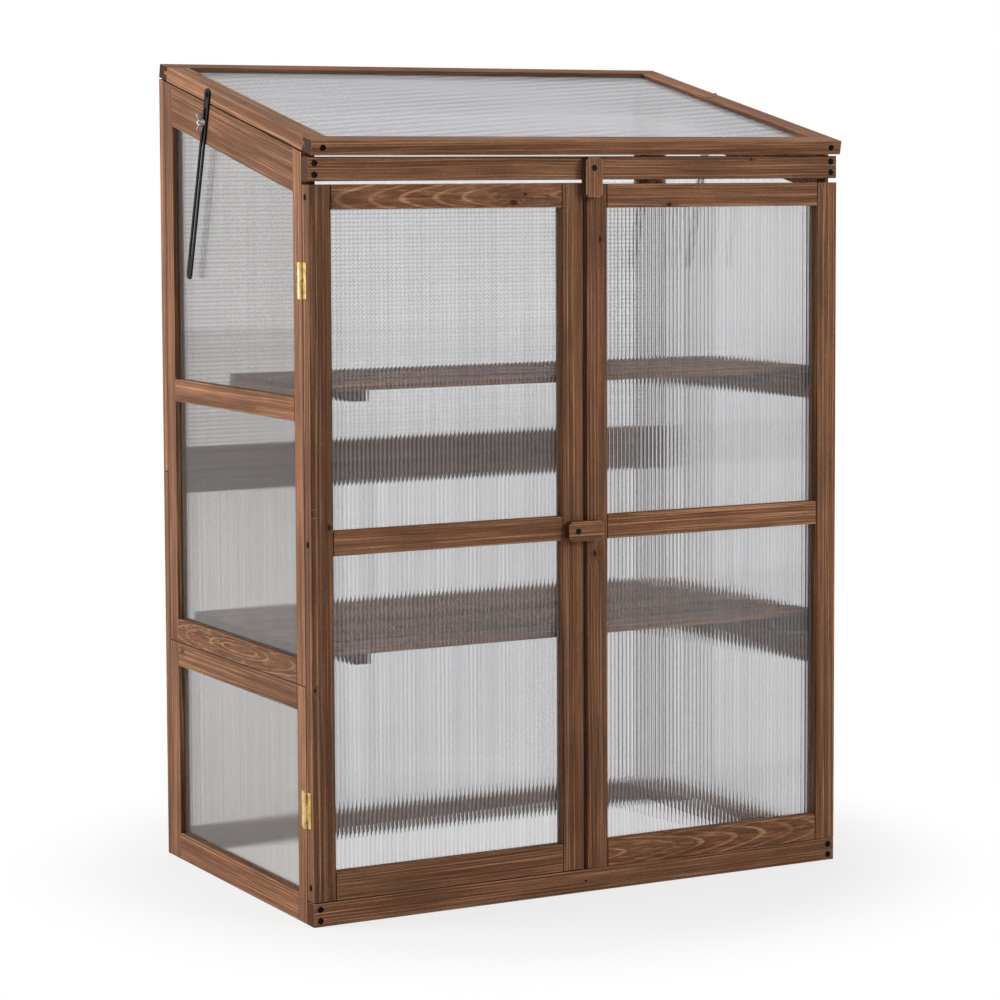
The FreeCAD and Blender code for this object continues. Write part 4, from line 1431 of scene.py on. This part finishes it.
@dataclass
class Catches:
    """The turn buttons that hold the doors shut, and the lid's slotted stays."""

    button_easing: float = 0.0012

    def build(self, finishes: Finishes) -> None:
        """Builds the buttons and dresses their screws, the stays and the wing nuts.

        Args:
            finishes: the finishes.
        """
        for node, body, grain in (("top_turn_button", "top_button", Direction.UPRIGHT),
                                  ("middle_turn_button", "middle_button", Direction.SIDEWAYS)):
            # The buttons get painted shade on all their narrow sides.
            Boards(node, body, grain, finishes.board_wood, easing=self.button_easing,
                   shade_painted_on_sides=True).build(finishes)
        Hardware(("top_button_screw", "middle_button_screw", "left_stay_bar", "right_stay_bar",
                  "stay_pivot_screws"), finishes.black).build(finishes)
        Hardware(("stay_bolts", "stay_wing_nuts"), finishes.zinc).build(finishes)


# ---------------------------------------------------------------- studio

@dataclass(frozen=True)
class Lamp:
    """A square soft lamp that faces a point."""

    name: str
    at: Triple
    towards: Triple
    size: float
    watts: float
    colour: Colour = (1.0, 1.0, 1.0)

    def build(self) -> None:
        """Hangs the lamp."""
        data = bpy.data.lights.new(self.name, "AREA")
        data.shape = "SQUARE"
        data.size = self.size
        data.energy = self.watts
        data.color = self.colour
        lamp = bpy.data.objects.new(self.name, data)
        lamp.location = self.at
        aim = Vector(self.towards) - Vector(self.at)
        lamp.rotation_euler = aim.to_track_quat("-Z", "Y").to_euler()
        bpy.context.scene.collection.objects.link(lamp)


@dataclass
class Studio:
    """The camera, the lamps, the pale floor and the white surroundings."""

    camera_at: Triple = (-1.88976, -3.53001, 0.91785)
    camera_yaw: float = math.radians(28.198)
    camera_pitch: float = math.radians(-4.352)
    camera_roll: float = math.radians(-0.231)
    focal_pixels: float = 3031.05
    picture_width: float = 1000.0
    axis_row: float = 400.0
    sensor: float = 36.0
    floor_reach: float = 14.0
    floor_segments: int = 64
    floor_grey: float = 0.8
    floor_roughness: float = 0.8
    floor_gloss: float = 0.1
    floor_fade: Step = Step(0.42, 0.68, 0.75, 1.0)
    ambient: float = 0.32
    lamps: tuple[Lamp, ...] = (
        Lamp("key", (-4.1, 1.5, 1.8), (0.0, 0.0, 0.5), 2.0, 158.0),
        Lamp("fill", (2.4, -4.0, 2.6), (0.0, 0.0, 0.5), 1.4, 72.0),
        Lamp("top", (0.2, 0.6, 3.6), (0.0, 0.0, 0.5), 2.4, 20.0),
    )

    def add_camera(self) -> None:
        """Stands the camera where it looks slightly down at the left front corner."""
        data = bpy.data.cameras.new("camera")
        data.sensor_width = self.sensor
        data.lens = self.focal_pixels / self.picture_width * self.sensor
        data.shift_y = (self.axis_row - self.picture_width / 2) / self.picture_width
        camera = bpy.data.objects.new("camera", data)
        level = Vector((math.cos(self.camera_yaw), -math.sin(self.camera_yaw), 0.0))
        forward = Vector((math.sin(self.camera_yaw), math.cos(self.camera_yaw), 0.0))
        ahead = (forward * math.cos(self.camera_pitch)
                 + Vector((0.0, 0.0, math.sin(self.camera_pitch))))
        upright = level.cross(ahead)
        right = level * math.cos(self.camera_roll) + upright * math.sin(self.camera_roll)
        above = upright * math.cos(self.camera_roll) - level * math.sin(self.camera_roll)
        turn = Matrix((right, above, right.cross(above))).transposed()
        camera.matrix_world = Matrix.Translation(self.camera_at) @ turn.to_4x4()
        bpy.context.scene.collection.objects.link(camera)
        bpy.context.scene.camera = camera

    def floor_material(self) -> bpy.types.Material:
        """Builds the pale floor, which turns white further off to the camera and through the panes.

        Returns:
            The material.
        """
        graph = MaterialGraph("floor")
        graph.shader.inputs["Base Color"].default_value = (*[self.floor_grey] * 3, 1.0)
        graph.shader.inputs["Roughness"].default_value = self.floor_roughness
        graph.shader.inputs["Specular IOR Level"].default_value = self.floor_gloss
        place = graph.node("ShaderNodeTexCoord").outputs["Object"]
        far = graph.step(graph.length(place), self.floor_fade)
        path = graph.node("ShaderNodeLightPath").outputs
        seen = graph.math("MAXIMUM", path["Is Camera Ray"], path["Is Transmission Ray"])
        white = graph.node("ShaderNodeEmission")
        mix = graph.node("ShaderNodeMixShader")
        graph.feed(mix.inputs[0], graph.math("MULTIPLY", far, seen))
        graph.feed(mix.inputs[1], graph.shader.outputs[0])
        graph.feed(mix.inputs[2], white.outputs[0])
        output = next(node for node in graph.tree.nodes if node.type == "OUTPUT_MATERIAL")
        graph.feed(output.inputs["Surface"], mix.outputs[0])
        return graph.material

    def add_floor(self) -> None:
        """Lays the floor, which keeps the shadow near the object."""
        mesh = bmesh.new()
        bmesh.ops.create_circle(mesh, cap_ends=True, segments=self.floor_segments,
                                radius=self.floor_reach)
        data = bpy.data.meshes.new("floor")
        mesh.to_mesh(data)
        mesh.free()
        data.materials.append(self.floor_material())
        floor = bpy.data.objects.new("floor", data)
        bpy.context.scene.collection.objects.link(floor)

    def add_surroundings(self) -> None:
        """Lights the room evenly; the camera, gloss and the panes see it white."""
        world = bpy.data.worlds.new("studio")
        world.use_nodes = True
        tree = world.node_tree
        background = next(node for node in tree.nodes if node.type == "BACKGROUND")
        background.inputs["Strength"].default_value = self.ambient
        white = tree.nodes.new("ShaderNodeBackground")
        for light in (background, white):
            light.inputs["Color"].default_value = (1, 1, 1, 1)
        path = tree.nodes.new("ShaderNodeLightPath")
        largest = path.outputs["Is Camera Ray"]
        for kind in ("Is Glossy Ray", "Is Transmission Ray"):
            step = tree.nodes.new("ShaderNodeMath")
            step.operation = "MAXIMUM"
            tree.links.new(largest, step.inputs[0])
            tree.links.new(path.outputs[kind], step.inputs[1])
            largest = step.outputs[0]
        mix = tree.nodes.new("ShaderNodeMixShader")
        tree.links.new(largest, mix.inputs[0])
        tree.links.new(background.outputs[0], mix.inputs[1])
        tree.links.new(white.outputs[0], mix.inputs[2])
        output = next(node for node in tree.nodes if node.type == "OUTPUT_WORLD")
        tree.links.new(mix.outputs[0], output.inputs["Surface"])
        bpy.context.scene.world = world

    def build(self) -> None:
        """Sets up the studio."""
        self.add_camera()
        self.add_floor()
        self.add_surroundings()
        for lamp in self.lamps:
            lamp.build()
        bpy.context.scene.view_settings.view_transform = "Standard"


def main() -> None:
    """Builds the greenhouse and its studio."""
    logging.basicConfig(level=logging.INFO, format="%(message)s")
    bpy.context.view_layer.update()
    finishes = Finishes()
    Studio().build()
    Cabinet().build(finishes)
    for side in ("left", "right"):
        Door(side).build(finishes)
    Lid().build(finishes)
    Hinges().build(finishes)
    Catches().build(finishes)


if __name__ == "__main__":
    main()
